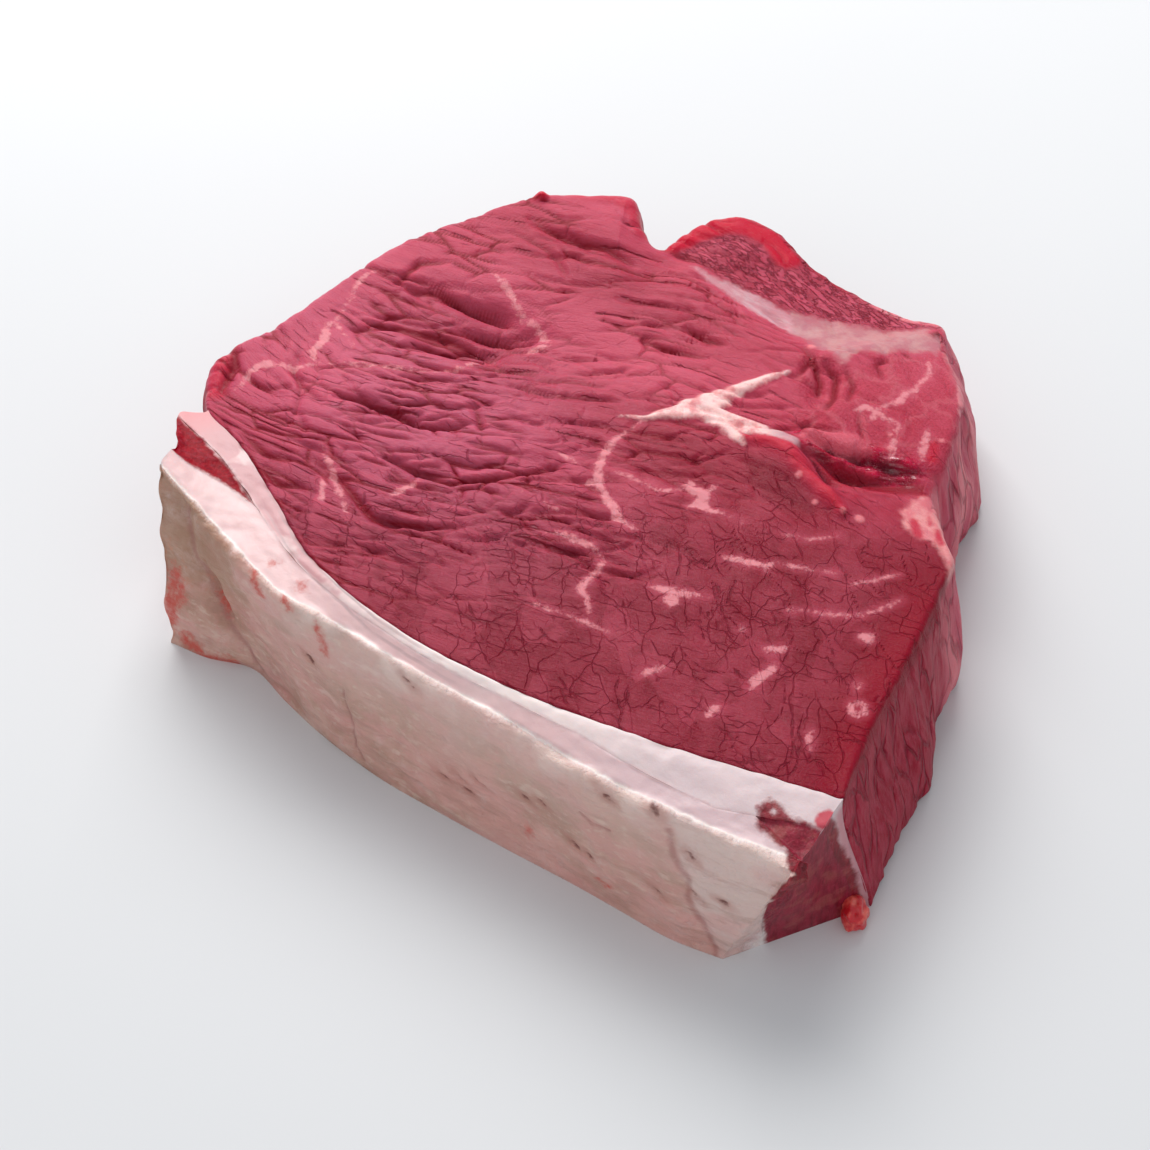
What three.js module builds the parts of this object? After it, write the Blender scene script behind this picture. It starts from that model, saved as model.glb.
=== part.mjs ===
// Thick-cut raw beef rump steak, lying on its cut face.
// Millimetres. +X along the fat edge, -Y towards the fat, +Z up from the resting face.
//
// The steak is one slice through five layers that all run through its full thickness:
//   lean              the red meat
//   seam_fat          the thin pale layer against the lean
//   cap_muscle_left   a red wedge of cap muscle that thins out along the seam
//   cap_muscle_right  the same muscle where it comes back at the other end
//   fat_cap           the thick outer fat
import * as THREE from 'three';

// ---- driving dimensions ----
const THICKNESS = 40;        // height of the cut above the resting face
const LAYER_GAP = 0.3;       // clearance between neighbouring layers
const RIM_RADIUS = 3.2;      // rounding of the lean's free top edge
const SEAM_RADIUS = 0.8;     // rounding of the lean's top edge along the fat
const FOOT_RADIUS = 1.8;     // rounding where the free wall meets the table
const WALL_BULGE = 2.0;      // how far the free wall swells at mid height
const FAT_RIDGE_RADIUS = 3.0; // rounding of the fat's outer top edge
const FAT_BULGE = 1.4;       // swelling of the fat's outer face
const END_SWELL = 6;         // how far the seam stands out of the cap's left end
const MIN_MUSCLE = 0.9;      // a muscle wedge ends where it gets thinner than this
const MUSCLE_DIP = 0.6;      // how far the cut muscle wedges lie below the fat beside them
const EDGE_BLEND = 0.62;     // share of the way out where the top starts to follow the rim's height
const EDGE_RELIEF = 0.4;     // share of the relief that is left at the rim

// ---- mesh fineness ----
const TOP_CELLS = 48;        // cells across the lean's top, each way
const CORNER_SHIFT = 10;     // border cells from the fat's right end to the top grid's corner
const CAP_STATIONS = 60;     // sections along the fat edge
const LOOP_SAMPLES = 1600;   // fine samples on the lean's outline
const CURVE_SAMPLES = 400;   // fine samples on the ridge and on the foot of the fat
const RIM_TURNS = [40, 90];  // rows of the rim's rounding, degrees from the top
const WALL_DEPTHS = [0.3, 0.55, 0.8];          // rows down the lean's wall
const FOOT_TURNS = [0, 50, 90];                // rows of the foot's rounding, degrees
const SEAM_DEPTHS = [0, 0.06, 0.35, 0.7, 1];   // rows down a face between two layers
const SKIN_DEPTHS = [0, 0.012, 0.04, 0.085, 0.3, 0.55, 0.8, 0.95, 1]; // rows down the outer fat

// Middle of the bounding box in plan, measured from the middle of the fat edge.
const PLAN_CENTRE = [-2.4, 27.4];
// Where the lean's top grid has its middle.
const TOP_CENTRE = [-4, 28];

// The lean's outline seen from above, anticlockwise from the corner at the fat's right end.
// Each row: x, y, height of the rim, then how far the foot lies outside the rim in x and y.
const OUTLINE = [
  [94, -27, 39, 7, 5.5],
  [93.2, -24.2, 39.2, 7.5, 4.5],
  [89, -12, 39.6, 8, 3],
  [84, 10, 40, 9, 2.5],
  [79, 29, 40, 5, 1.5],
  [75, 44, 39, 3.5, 1.5],
  [67, 53, 38, 3, 2],
  [59, 60, 37.5, 3, 1.5],
  [55, 74, 38.5, 4, 2],
  [46, 93, 38, 6.5, 4],
  [36, 103, 37, 6.5, 6],
  [27, 113, 35.5, 5, 6],
  [17, 111.5, 34, 3, 5],
  [0, 111, 33.5, 0, 5],
  [-12, 111.5, 34.5, 0, 4],
  [-27, 115, 36, 0, 3],
  [-38, 110.5, 37, -2, 4],
  [-43, 98, 37, -1, 4],
  [-44.5, 89, 38, 0, 4],
  [-51, 90.5, 40, -1, 5],
  [-59, 97, 41, -3, 4],
  [-68, 92, 41, -3, 4],
  [-80, 83, 40.5, -3, 3],
  [-88, 68, 40, -4, 1],
  [-95, 50, 40, -3, 0],
  [-98, 26, 40, -3, 0],
  [-99, 5, 40, -3, 0],
  [-103, -12, 39, -2, 0],
  [-99, -20, 38.6, -1, 0],
  [-90.5, -27.6, 39.2, 0, 0],
  [-76, -31.5, 40, 0, 0],
  [-57, -39.5, 40, 0, 0],
  [-39, -47.3, 40, 0, 0],
  [-12, -51.2, 40, 0, 0],
  [16, -49.2, 40, 0, 0],
  [46, -42.8, 40, 0, 0],
  [74, -34, 39.6, 0, 0],
  [89, -29, 39.3, 3, 2],
];
const FAT_START = 29;        // the row where the fat edge begins, at the left end

// The fat's outer top edge (x, y, z) and its foot on the table (x, y), left to right.
const RIDGE = [
  [-82, -52.5, 45], [-72, -54, 42], [-59, -56, 39.5], [-38, -60, 38.5], [-22, -58.6, 37.6],
  [1, -57.5, 37], [24, -55.6, 37], [48, -55, 37], [68, -52.4, 37], [86, -49, 37], [96, -46, 37],
];
const FOOT = [
  [-73, -64], [-63, -62], [-52, -57.6], [-39, -60], [-26, -62], [-7, -63],
  [8, -62], [29, -60], [47, -58], [60, -57], [72, -56], [84, -53],
];

// The cap's left end is not straight: the seam's tip stands out of it, over this stretch.
const END_SWELL_WIDTH = 5.5;  // distance of the tip from the lean
const END_SWELL_REACH = 0.035; // share of the edge's length over which the swelling fades

// Widths along the fat edge. Each row: place along the edge from 0 to 1, width at the top of
// the cut, width at the foot.
const SEAM_WIDTH = [
  [0, 6.5, 6.5], [0.1, 7, 7], [0.2, 6.5, 6.5], [0.3, 4.4, 4.4], [0.42, 2.6, 2.6],
  [0.6, 2.6, 2.6], [0.7, 4, 4], [0.8, 8, 8], [0.88, 10.6, 10], [0.94, 9.4, 7], [1, 7.6, 3.6],
];
const LEFT_MUSCLE_WIDTH = [[0, 12, 12], [0.05, 8.6, 9], [0.1, 4.2, 5], [0.16, 0, 0]];
const RIGHT_MUSCLE_WIDTH = [[0.925, 0, 0], [0.95, 3, 6], [0.975, 6.4, 14], [1, 9.4, 22]];

// Broad swellings and hollows of the cut face.
// Each row: x, y, height, half length, half width, direction of the length in degrees.
const SWELLS = [
  [-10, -8, 1.6, 60, 34, 0],
  [-57, 34, -3.6, 26, 10, 24],
  [-72, 2, 1.0, 20, 14, 30],
  [-62, 84, 1.6, 20, 9, 20],
  [8, 98, -2.2, 26, 8, 5],
  [-24, 104, 2.6, 14, 5, 5],
  [20, 92, 1.4, 9, 5, 60],
  [44, 78, 1.8, 13, 13, 0],
  [33, 44, 2.2, 17, 5, -4],
  [64, -6, -0.8, 22, 26, 0],
];

// Furrows of the cut face, each a chain of points with a half width and a depth.
const FURROWS = [
  { path: [[26, 51], [38, 50.5], [47, 55], [56, 61], [66, 64]], half: 5.5, depth: 8.5 },
  { path: [[-34, 88], [-19, 86], [-4, 86], [8, 84]], half: 4, depth: 1.8 },
  { path: [[12, 80], [18, 74], [21, 67]], half: 3.5, depth: 2.4 },
  { path: [[-84, 34], [-68, 41], [-54, 45]], half: 3.5, depth: 2.0 },
  { path: [[-72, 21], [-60, 27], [-47, 35]], half: 3.5, depth: 2.2 },
  { path: [[-66, 33], [-56, 38], [-46, 44]], half: 3.5, depth: 2.2 },
  { path: [[-76, 74], [-60, 75], [-40, 79]], half: 3.5, depth: 1.6 },
  { path: [[-68, -5], [-52, 0], [-38, 6]], half: 3.5, depth: 1.6 },
  { path: [[-42, -19], [-30, -5], [-13, 12]], half: 3.5, depth: 1.4 },
];

// Wrinkles of the cut face: narrow creases that run along the grain, deepest where the meat
// has drawn together and fading towards the smooth corner.
const GRAIN_DEGREES = 39;    // direction of the creases
const WRINKLE_SPACING = 13;
const WRINKLE_DEPTH = 1.1;
const WRINKLE_MIDDLE = [-40, 45];
const WRINKLE_REACH = 62;

// ---- small maths ----
const lerp = THREE.MathUtils.lerp;
const smooth = THREE.MathUtils.smoothstep;
const vec = (x, y) => new THREE.Vector2(x, y);

/** Value of a table of rows [place, a, b] at a place, straight from row to row. */
function tableAt(rows, place, column) {
  if (place <= rows[0][0]) return rows[0][column];
  for (let i = 1; i < rows.length; i++) {
    if (place > rows[i][0]) continue;
    const [before, after] = [rows[i - 1], rows[i]];
    const t = (place - before[0]) / (after[0] - before[0]);
    return lerp(before[column], after[column], t);
  }
  return rows[rows.length - 1][column];
}

/** Point at a fraction of the length of a chain of fine samples. */
function along(samples, lengths, fraction) {
  const want = fraction * lengths[lengths.length - 1];
  let low = 0;
  let high = lengths.length - 1;
  while (high - low > 1) {
    const middle = (low + high) >> 1;
    if (lengths[middle] <= want) low = middle;
    else high = middle;
  }
  const t = (want - lengths[low]) / (lengths[high] - lengths[low]);
  return samples[low].map((value, k) => lerp(value, samples[high][k], t));
}

/** Running length of a chain of fine samples, measured in plan. */
function runningLength(samples) {
  const lengths = [0];
  for (let i = 1; i < samples.length; i++) {
    const step = Math.hypot(samples[i][0] - samples[i - 1][0], samples[i][1] - samples[i - 1][1]);
    lengths.push(lengths[i - 1] + step);
  }
  return lengths;
}

/** A smooth curve through rows of any width, as a function of the fraction of its length. */
function smoothCurve(rows) {
  const points = rows.map(([x, y, z = 0]) => new THREE.Vector3(x, y, z));
  const curve = new THREE.CatmullRomCurve3(points, false, 'centripetal');
  const samples = curve.getPoints(CURVE_SAMPLES).map((p) => [p.x, p.y, p.z]);
  const lengths = runningLength(samples);
  return (fraction) => along(samples, lengths, fraction);
}

// ---- the lean's outline ----

/** Fine samples of the closed outline: x, y, rim height, foot offset x, foot offset y. */
function sampleOutline() {
  const points = OUTLINE.map(([x, y, z]) => new THREE.Vector3(x, y, z));
  const curve = new THREE.CatmullRomCurve3(points, true, 'centripetal');
  const rows = OUTLINE.length;
  const samples = [];
  for (let i = 0; i <= LOOP_SAMPLES; i++) {
    const place = (i / LOOP_SAMPLES) * rows;
    const row = Math.floor(place) % rows;
    const ease = smooth(place - Math.floor(place), 0, 1);
    const p = curve.getPoint(i / LOOP_SAMPLES);
    const next = OUTLINE[(row + 1) % rows];
    samples.push([
      p.x, p.y, p.z,
      lerp(OUTLINE[row][3], next[3], ease), lerp(OUTLINE[row][4], next[4], ease),
    ]);
  }
  return samples;
}

const outlineSamples = sampleOutline();
const fatStartSample = Math.round((FAT_START / OUTLINE.length) * LOOP_SAMPLES);
const outlineLengths = runningLength(outlineSamples);
const outlineAt = (fraction) => along(outlineSamples, outlineLengths, fraction - Math.floor(fraction));
const fatStart = outlineLengths[fatStartSample] / outlineLengths[LOOP_SAMPLES];

/** Outward direction of the outline in plan, averaged over a short stretch. */
function outwardAt(fraction) {
  const reach = 0.006;
  const [ax, ay] = outlineAt(fraction - reach);
  const [bx, by] = outlineAt(fraction + reach);
  return vec(by - ay, ax - bx).normalize();
}

/** Share of the foot offset that the wall has reached at a depth from 0 to 1. */
function footSpread(depth) {
  const beyond = 1.15;
  return smooth(depth, 0, beyond) / smooth(1, 0, beyond);
}

/** 1 on the free part of the outline, 0 along the fat, eased over a short stretch. */
function freeEdge(fraction) {
  const ease = 0.02;
  return smooth(fraction, 0, ease) * (1 - smooth(fraction, fatStart - ease, fatStart));
}

// ---- relief of the cut face ----

/** Distance from a plan point to a chain of points, and the place along it from 0 to 1. */
function chainDistance(x, y, path) {
  let best = Infinity;
  let place = 0;
  for (let i = 1; i < path.length; i++) {
    const [ax, ay] = path[i - 1];
    const [dx, dy] = [path[i][0] - ax, path[i][1] - ay];
    const t = THREE.MathUtils.clamp(((x - ax) * dx + (y - ay) * dy) / (dx * dx + dy * dy), 0, 1);
    const distance = Math.hypot(x - ax - t * dx, y - ay - t * dy);
    if (distance < best) {
      best = distance;
      place = (i - 1 + t) / (path.length - 1);
    }
  }
  return [best, place];
}

/** Depth of the creases along the grain: a wavy comb with narrow teeth. */
function wrinkles(x, y) {
  const grain = vec(x, y).rotateAround(vec(0, 0), -THREE.MathUtils.degToRad(GRAIN_DEGREES));
  const sway = 1.4 * Math.sin(grain.x / 19 + grain.y / 27) + 0.9 * Math.sin(grain.x / 9 - grain.y / 15);
  const comb = 0.5 + 0.5 * Math.cos((2 * Math.PI * grain.y) / WRINKLE_SPACING + sway);
  const away = Math.hypot(x - WRINKLE_MIDDLE[0], y - WRINKLE_MIDDLE[1]) / WRINKLE_REACH;
  return WRINKLE_DEPTH * comb ** 3 * Math.exp(-(away ** 2));
}

/** Height of the cut face over the flat level, from its swells, furrows and wrinkles. */
function relief(x, y) {
  let height = -wrinkles(x, y);
  for (const [cx, cy, rise, long, wide, degrees] of SWELLS) {
    const local = vec(x - cx, y - cy).rotateAround(vec(0, 0), -THREE.MathUtils.degToRad(degrees));
    height += rise * Math.exp(-0.5 * ((local.x / long) ** 2 + (local.y / wide) ** 2));
  }
  for (const { path, half, depth } of FURROWS) {
    const [distance, place] = chainDistance(x, y, path);
    const taper = smooth(place, -0.05, 0.35) * (1 - 0.5 * smooth(place, 0.8, 1));
    height -= depth * taper * Math.exp(-((distance / half) ** 2));
  }
  return height;
}

// ---- mesh building ----

/** A mesh from points and triangles that close round a solid. */
function meshOf(name, positions, triangles, material) {
  const geometry = new THREE.BufferGeometry();
  geometry.setAttribute('position', new THREE.Float32BufferAttribute(positions.flat(), 3));
  geometry.setIndex(triangles.flat());
  geometry.computeVertexNormals();
  const mesh = new THREE.Mesh(geometry, material);
  mesh.name = name;
  return mesh;
}

/**
 * Two triangles for each cell between two closed rings of equal count, the first one higher.
 * The first cells may be split along their other diagonal, so that the two faces of a gap,
 * which run round their rings in opposite directions, fold alike.
 */
function joinRings(triangles, upper, lower, otherWay = 0) {
  const count = upper.length;
  for (let i = 0; i < count; i++) {
    const j = (i + 1) % count;
    if (i < otherWay) triangles.push([upper[i], lower[i], upper[j]], [lower[i], lower[j], upper[j]]);
    else triangles.push([upper[i], lower[i], lower[j]], [upper[i], lower[j], upper[j]]);
  }
}

/** The lean: a relief top on a square grid drawn out to the outline, a wall and a flat foot. */
function makeLean(material) {
  const cells = TOP_CELLS;
  const around = 4 * cells;
  const half = cells / 2;
  const positions = [];
  const triangles = [];

  // Place along the outline of a point on the grid's border, from its lower right corner.
  const shift = CORNER_SHIFT / around;
  const borderPlace = (i, j, ring) => {
    if (i === ring) return (j + ring) / (8 * ring) + shift;
    if (j === ring) return (ring - i) / (8 * ring) + 0.25 + shift;
    if (i === -ring) return (ring - j) / (8 * ring) + 0.5 + shift;
    return (i + ring) / (8 * ring) + 0.75 + shift;
  };
  const inset = (fraction) => {
    const free = freeEdge(fraction - Math.floor(fraction));
    const radius = lerp(SEAM_RADIUS, RIM_RADIUS, free);
    const out = outwardAt(fraction);
    const [x, y, z, fx, fy] = outlineAt(fraction);
    const back = LAYER_GAP / 2;
    return { x: x - out.x * back, y: y - out.y * back, z, fx, fy, out, radius, free };
  };

  const grid = [];
  for (let j = -half; j <= half; j++) {
    for (let i = -half; i <= half; i++) {
      const ring = Math.max(Math.abs(i), Math.abs(j));
      grid.push(positions.length);
      if (ring === 0) {
        positions.push([...TOP_CENTRE, THICKNESS + relief(...TOP_CENTRE)]);
        continue;
      }
      const rim = inset(borderPlace(i, j, ring));
      const reach = ring / half;
      const x = lerp(TOP_CENTRE[0], rim.x - rim.out.x * rim.radius, reach);
      const y = lerp(TOP_CENTRE[1], rim.y - rim.out.y * rim.radius, reach);
      const edge = smooth(reach, EDGE_BLEND, 1);
      positions.push([x, y, lerp(THICKNESS, rim.z, edge) + relief(x, y) * lerp(1, EDGE_RELIEF, edge)]);
    }
  }
  const at = (i, j) => grid[(j + half) * (cells + 1) + i + half];
  for (let j = -half; j < half; j++) {
    for (let i = -half; i < half; i++) {
      const [a, b, c, d] = [at(i, j), at(i + 1, j), at(i + 1, j + 1), at(i, j + 1)];
      const split = (i < 0) === (j < 0);
      if (split) triangles.push([a, b, c], [a, c, d]);
      else triangles.push([a, b, d], [b, c, d]);
    }
  }

  // The top grid's border, then the wall in rings from the top edge down to the foot.
  const border = [];
  for (let k = 0; k < around; k++) {
    const side = Math.floor(k / cells);
    const step = k % cells;
    border.push([
      at(half, step - half), at(half - step, half), at(-half, half - step), at(step - half, -half),
    ][side]);
  }
  const rims = border.map((_, k) => inset(k / around + shift));
  const ringOf = (place) => rims.map((rim, k) => {
    positions.push(place(rim, positions[border[k]][2]));
    return positions.length - 1;
  });
  const rings = [border];
  for (const degrees of RIM_TURNS) {
    const turn = THREE.MathUtils.degToRad(degrees);
    rings.push(ringOf((rim, top) => {
      const back = rim.radius * (1 - Math.sin(turn));
      const drop = rim.radius * (1 - Math.cos(turn));
      return [rim.x - rim.out.x * back, rim.y - rim.out.y * back, top - drop];
    }));
  }
  for (const depth of WALL_DEPTHS) {
    rings.push(ringOf((rim, top) => {
      const swell = WALL_BULGE * rim.free * Math.sin(Math.PI * depth);
      const height = lerp(top - rim.radius, FOOT_RADIUS, depth);
      const spread = footSpread(1 - height / rim.z);
      return [
        rim.x + rim.out.x * swell + rim.fx * spread,
        rim.y + rim.out.y * swell + rim.fy * spread,
        height,
      ];
    }));
  }
  for (const degrees of FOOT_TURNS) {
    const turn = THREE.MathUtils.degToRad(degrees);
    rings.push(ringOf((rim) => {
      const radius = FOOT_RADIUS * rim.free;
      const back = radius * (1 - Math.cos(turn));
      return [
        rim.x + rim.fx - rim.out.x * back,
        rim.y + rim.fy - rim.out.y * back,
        FOOT_RADIUS * (1 - Math.sin(turn)),
      ];
    }));
  }
  for (let k = 1; k < rings.length; k++) joinRings(triangles, rings[k - 1], rings[k]);

  const foot = rings[rings.length - 1];
  const flat = foot.map((index) => vec(positions[index][0], positions[index][1]));
  for (const [a, b, c] of THREE.ShapeUtils.triangulateShape(flat, [])) {
    triangles.push([foot[a], foot[c], foot[b]]);
  }
  return meshOf('lean', positions, triangles, material);
}

// ---- the layers of the fat edge ----
const ridgeAt = smoothCurve(RIDGE);
const footAt = smoothCurve(FOOT);

/** The lean's face against the fat, at a place from left to right and a depth from 0 to 1. */
function seamFace(place, depth) {
  const [x, y, z, fx, fy] = outlineAt(lerp(fatStart, 1, place) - (place === 1 ? 1e-9 : 0));
  const spread = footSpread(depth);
  return [x + fx * spread, y + fy * spread, z];
}

/** Section across the fat edge at a place and depth: start, direction, width, top heights. */
function capSection(place, depth) {
  const [bx, by, bz] = seamFace(place, depth);
  const [rx, ry, rz] = ridgeAt(place);
  const [fx, fy] = footAt(place);
  const swell = FAT_BULGE * Math.sin(Math.PI * depth);
  const across = vec(lerp(rx, fx, depth) - bx, lerp(ry, fy, depth) - by);
  const width = across.length() + swell;
  across.normalize();
  return { bx, by, across, width, innerTop: bz, outerTop: rz };
}

/** Layer widths, measured from the lean, at a place and depth: most of the change is high up. */
function widthAt(rows, place, depth) {
  return lerp(tableAt(rows, place, 1), tableAt(rows, place, 2), 1 - (1 - depth) ** 3);
}
const seamOuter = (place, depth) => widthAt(SEAM_WIDTH, place, depth);
const muscleWidth = (place, depth) => (
  place < 0.5 ? widthAt(LEFT_MUSCLE_WIDTH, place, depth) : widthAt(RIGHT_MUSCLE_WIDTH, place, depth)
);
const muscleOuter = (place, depth) => seamOuter(place, depth) + muscleWidth(place, depth);

/** 0 on the lean, 1 at the seam's tip, then easing back to 0 across the cap. */
function seamHump(distance) {
  const rise = smooth(distance, 0, END_SWELL_WIDTH);
  return rise * (1 - smooth(distance, END_SWELL_WIDTH, 3.2 * END_SWELL_WIDTH));
}

/**
 * One layer of the fat edge: the section between an inner and an outer width, carried along
 * the edge from one place to another, with closed ends.
 */
function makeLayer(name, material, { from, to, inner, outer, skin, columns, dip }) {
  const positions = [];
  const rings = [];
  for (let station = from; station <= to; station++) {
    const place = station / CAP_STATIONS;
    const ring = [];
    const put = (distance, section, height) => {
      const swell = END_SWELL * Math.exp(-place / END_SWELL_REACH) * seamHump(distance);
      ring.push(positions.length);
      positions.push([
        section.bx + section.across.x * distance - swell,
        section.by + section.across.y * distance,
        height,
      ]);
    };
    const topAt = (distance, section) => {
      const share = distance / section.width;
      return lerp(section.innerTop, section.outerTop, smooth(share, 0, 1)) - dip;
    };
    const wall = (depth, distance) => {
      const section = capSection(place, depth);
      const top = topAt(distance, capSection(place, 0));
      put(distance, section, top * (1 - depth));
    };
    const skinDistance = (depth) => {
      const section = capSection(place, depth);
      const edge = Math.max(0, 1 - (depth * section.outerTop) / FAT_RIDGE_RADIUS);
      return section.width - FAT_RIDGE_RADIUS * 0.5 * (1 - Math.sqrt(1 - edge * edge));
    };
    const low = (depth) => inner(place, depth) + LAYER_GAP / 2;
    const high = (depth) => (skin ? skinDistance(depth) : outer(place, depth) - LAYER_GAP / 2);
    for (const depth of [...SEAM_DEPTHS].reverse()) wall(depth, low(depth));
    const section = capSection(place, 0);
    for (let c = 1; c < columns; c++) {
      const distance = lerp(low(0), high(0), c / columns);
      put(distance, section, topAt(distance, section));
    }
    for (const depth of skin ? SKIN_DEPTHS : SEAM_DEPTHS) wall(depth, high(depth));
    rings.push(ring);
  }
  const triangles = [];
  for (let k = 1; k < rings.length; k++) {
    joinRings(triangles, rings[k], rings[k - 1], SEAM_DEPTHS.length - 1);
  }
  for (const [ring, flip] of [[rings[0], false], [rings[rings.length - 1], true]]) {
    const flat = ring.map((index) => {
      const [x, y, z] = positions[index];
      return vec(Math.hypot(x - positions[ring[0]][0], y - positions[ring[0]][1]), z);
    });
    for (const [a, b, c] of THREE.ShapeUtils.triangulateShape(flat, [])) {
      triangles.push(flip ? [ring[a], ring[c], ring[b]] : [ring[a], ring[b], ring[c]]);
    }
  }
  return meshOf(name, positions, triangles, material);
}

/** First and last section where a muscle wedge is thick enough to stand as a layer. */
function muscleStations(rows) {
  const inside = (place) => place >= rows[0][0] && place <= rows[rows.length - 1][0];
  const stations = Array.from({ length: CAP_STATIONS + 1 }, (_, station) => station)
    .filter((station) => inside(station / CAP_STATIONS))
    .filter((station) => tableAt(rows, station / CAP_STATIONS, 1) >= MIN_MUSCLE);
  return { from: stations[0], to: stations[stations.length - 1] };
}

// ---- the steak ----
const redMeat = new THREE.MeshStandardMaterial({ color: 0x9e4252, roughness: 0.42, metalness: 0 });
const paleSeam = new THREE.MeshStandardMaterial({ color: 0xd8bcb8, roughness: 0.5, metalness: 0 });
const outerFat = new THREE.MeshStandardMaterial({ color: 0xd3b3a8, roughness: 0.55, metalness: 0 });
const brightMuscle = new THREE.MeshStandardMaterial({ color: 0xb04656, roughness: 0.4, metalness: 0 });
const darkMuscle = new THREE.MeshStandardMaterial({ color: 0x7a3038, roughness: 0.4, metalness: 0 });

const steak = new THREE.Group();
steak.add(makeLean(redMeat));
steak.add(makeLayer('seam_fat', paleSeam, {
  from: 0, to: CAP_STATIONS, inner: () => 0, outer: seamOuter, skin: false, columns: 3, dip: 0,
}));
const wedge = { inner: seamOuter, outer: muscleOuter, skin: false, columns: 4, dip: MUSCLE_DIP };
steak.add(makeLayer('cap_muscle_left', brightMuscle, { ...muscleStations(LEFT_MUSCLE_WIDTH), ...wedge }));
steak.add(makeLayer('cap_muscle_right', darkMuscle, { ...muscleStations(RIGHT_MUSCLE_WIDTH), ...wedge }));
steak.add(makeLayer('fat_cap', outerFat, {
  from: 0, to: CAP_STATIONS, inner: muscleOuter, outer: muscleOuter, skin: true, columns: 5, dip: 0,
}));
steak.position.set(-PLAN_CENTRE[0], -PLAN_CENTRE[1], 0);

export default steak;
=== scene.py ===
"""Thick-cut raw beef rump steak: the moist lean, the seam fat, two wedges of cap muscle, the outer fat.

Lengths are in millimetres on a flat plan, with x along the fat edge, y away from the fat and z up
from the resting face. A piece's points are moved to the frame, and turned into metres, as its mesh
is made.
"""
import math

import bpy
import numpy as np
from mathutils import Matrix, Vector


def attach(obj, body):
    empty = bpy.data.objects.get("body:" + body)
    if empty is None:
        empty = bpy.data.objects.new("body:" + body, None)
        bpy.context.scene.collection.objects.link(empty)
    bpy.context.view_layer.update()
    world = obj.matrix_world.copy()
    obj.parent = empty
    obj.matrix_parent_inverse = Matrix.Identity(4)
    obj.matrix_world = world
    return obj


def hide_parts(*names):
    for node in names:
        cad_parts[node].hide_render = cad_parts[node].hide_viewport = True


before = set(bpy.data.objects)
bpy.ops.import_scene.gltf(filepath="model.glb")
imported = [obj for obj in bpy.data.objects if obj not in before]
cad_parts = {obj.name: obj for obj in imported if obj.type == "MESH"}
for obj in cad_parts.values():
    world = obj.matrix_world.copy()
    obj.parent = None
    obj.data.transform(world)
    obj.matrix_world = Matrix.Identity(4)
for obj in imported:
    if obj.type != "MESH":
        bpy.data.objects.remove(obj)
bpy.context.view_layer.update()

# ---- sizes, the same as the solids' ----
MM = 0.001
PLAN_CENTRE = np.array([-2.4, 27.4, 0.0])
THICKNESS = 40
RIM_RADIUS = 3.2
CRISP_RADIUS = 1.3
SEAM_RADIUS = 0.8
FOOT_RADIUS = 1.8
WALL_BULGE = 2.0
FAT_RIDGE_RADIUS = 3.0
FAT_BULGE = 1.4
# The fat edge's left end swells outwards: how far, over which width, and how far along the edge.
END_SWELL = 6
END_SWELL_WIDTH = 5.5
END_SWELL_REACH = 0.035
MUSCLE_DIP = 0.6
# Where on the outline, from 0 to 1, the first corner of the top's grid lies.
CORNER_SHIFT = 10 / 192

# Rows of the lean's outline: x, y, rim height, then the foot's offset in x and y.
OUTLINE = [
    [94, -27, 39, 7, 5.5], [93.2, -24.2, 39.2, 7.5, 4.5], [89, -12, 39.6, 8, 3],
    [84, 10, 40, 9, 2.5], [79, 29, 40, 5, 1.5], [75, 44, 39, 3.5, 1.5], [67, 53, 38, 3, 2],
    [59, 60, 37.5, 3, 1.5], [55, 74, 38.5, 4, 2], [46, 93, 38, 6.5, 4], [36, 103, 37, 6.5, 6],
    [27, 113, 35.5, 5, 6], [17, 111.5, 34, 3, 5], [0, 111, 33.5, 0, 5], [-12, 111.5, 34.5, 0, 4],
    [-27, 115, 36, 0, 3], [-38, 110.5, 37, -2, 4], [-43, 98, 37, -1, 4], [-44.5, 89, 38, 0, 4],
    [-51, 90.5, 40, -1, 5], [-59, 97, 41, -3, 4], [-68, 92, 41, -3, 4], [-80, 83, 40.5, -3, 3],
    [-88, 68, 40, -4, 1], [-95, 50, 40, -3, 0], [-98, 26, 40, -3, 0], [-99, 5, 40, -3, 0],
    [-103, -12, 39, -2, 0], [-99, -20, 38.6, -1, 0], [-90.5, -27.6, 39.2, 0, 0],
    [-76, -31.5, 40, 0, 0], [-57, -39.5, 40, 0, 0], [-39, -47.3, 40, 0, 0],
    [-12, -51.2, 40, 0, 0], [16, -49.2, 40, 0, 0], [46, -42.8, 40, 0, 0], [74, -34, 39.6, 0, 0],
    [89, -29, 39.3, 3, 2],
]
# The row of the outline, counted from 0, at which the fat edge starts.
FAT_START = 29

# The fat's outer edge at the top and at the foot, from left to right: x, y, z.
RIDGE = [
    [-82, -52.5, 45], [-72, -54, 42], [-59, -56, 39.5], [-38, -60, 38.5], [-22, -58.6, 37.6],
    [1, -57.5, 37], [24, -55.6, 37], [48, -55, 37], [68, -52.4, 37], [86, -49, 37], [96, -46, 37],
]
FOOT = [
    [-73, -64, 0], [-63, -62, 0], [-52, -57.6, 0], [-39, -60, 0], [-26, -62, 0], [-7, -63, 0],
    [8, -62, 0], [29, -60, 0], [47, -58, 0], [60, -57, 0], [72, -56, 0], [84, -53, 0],
]
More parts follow.
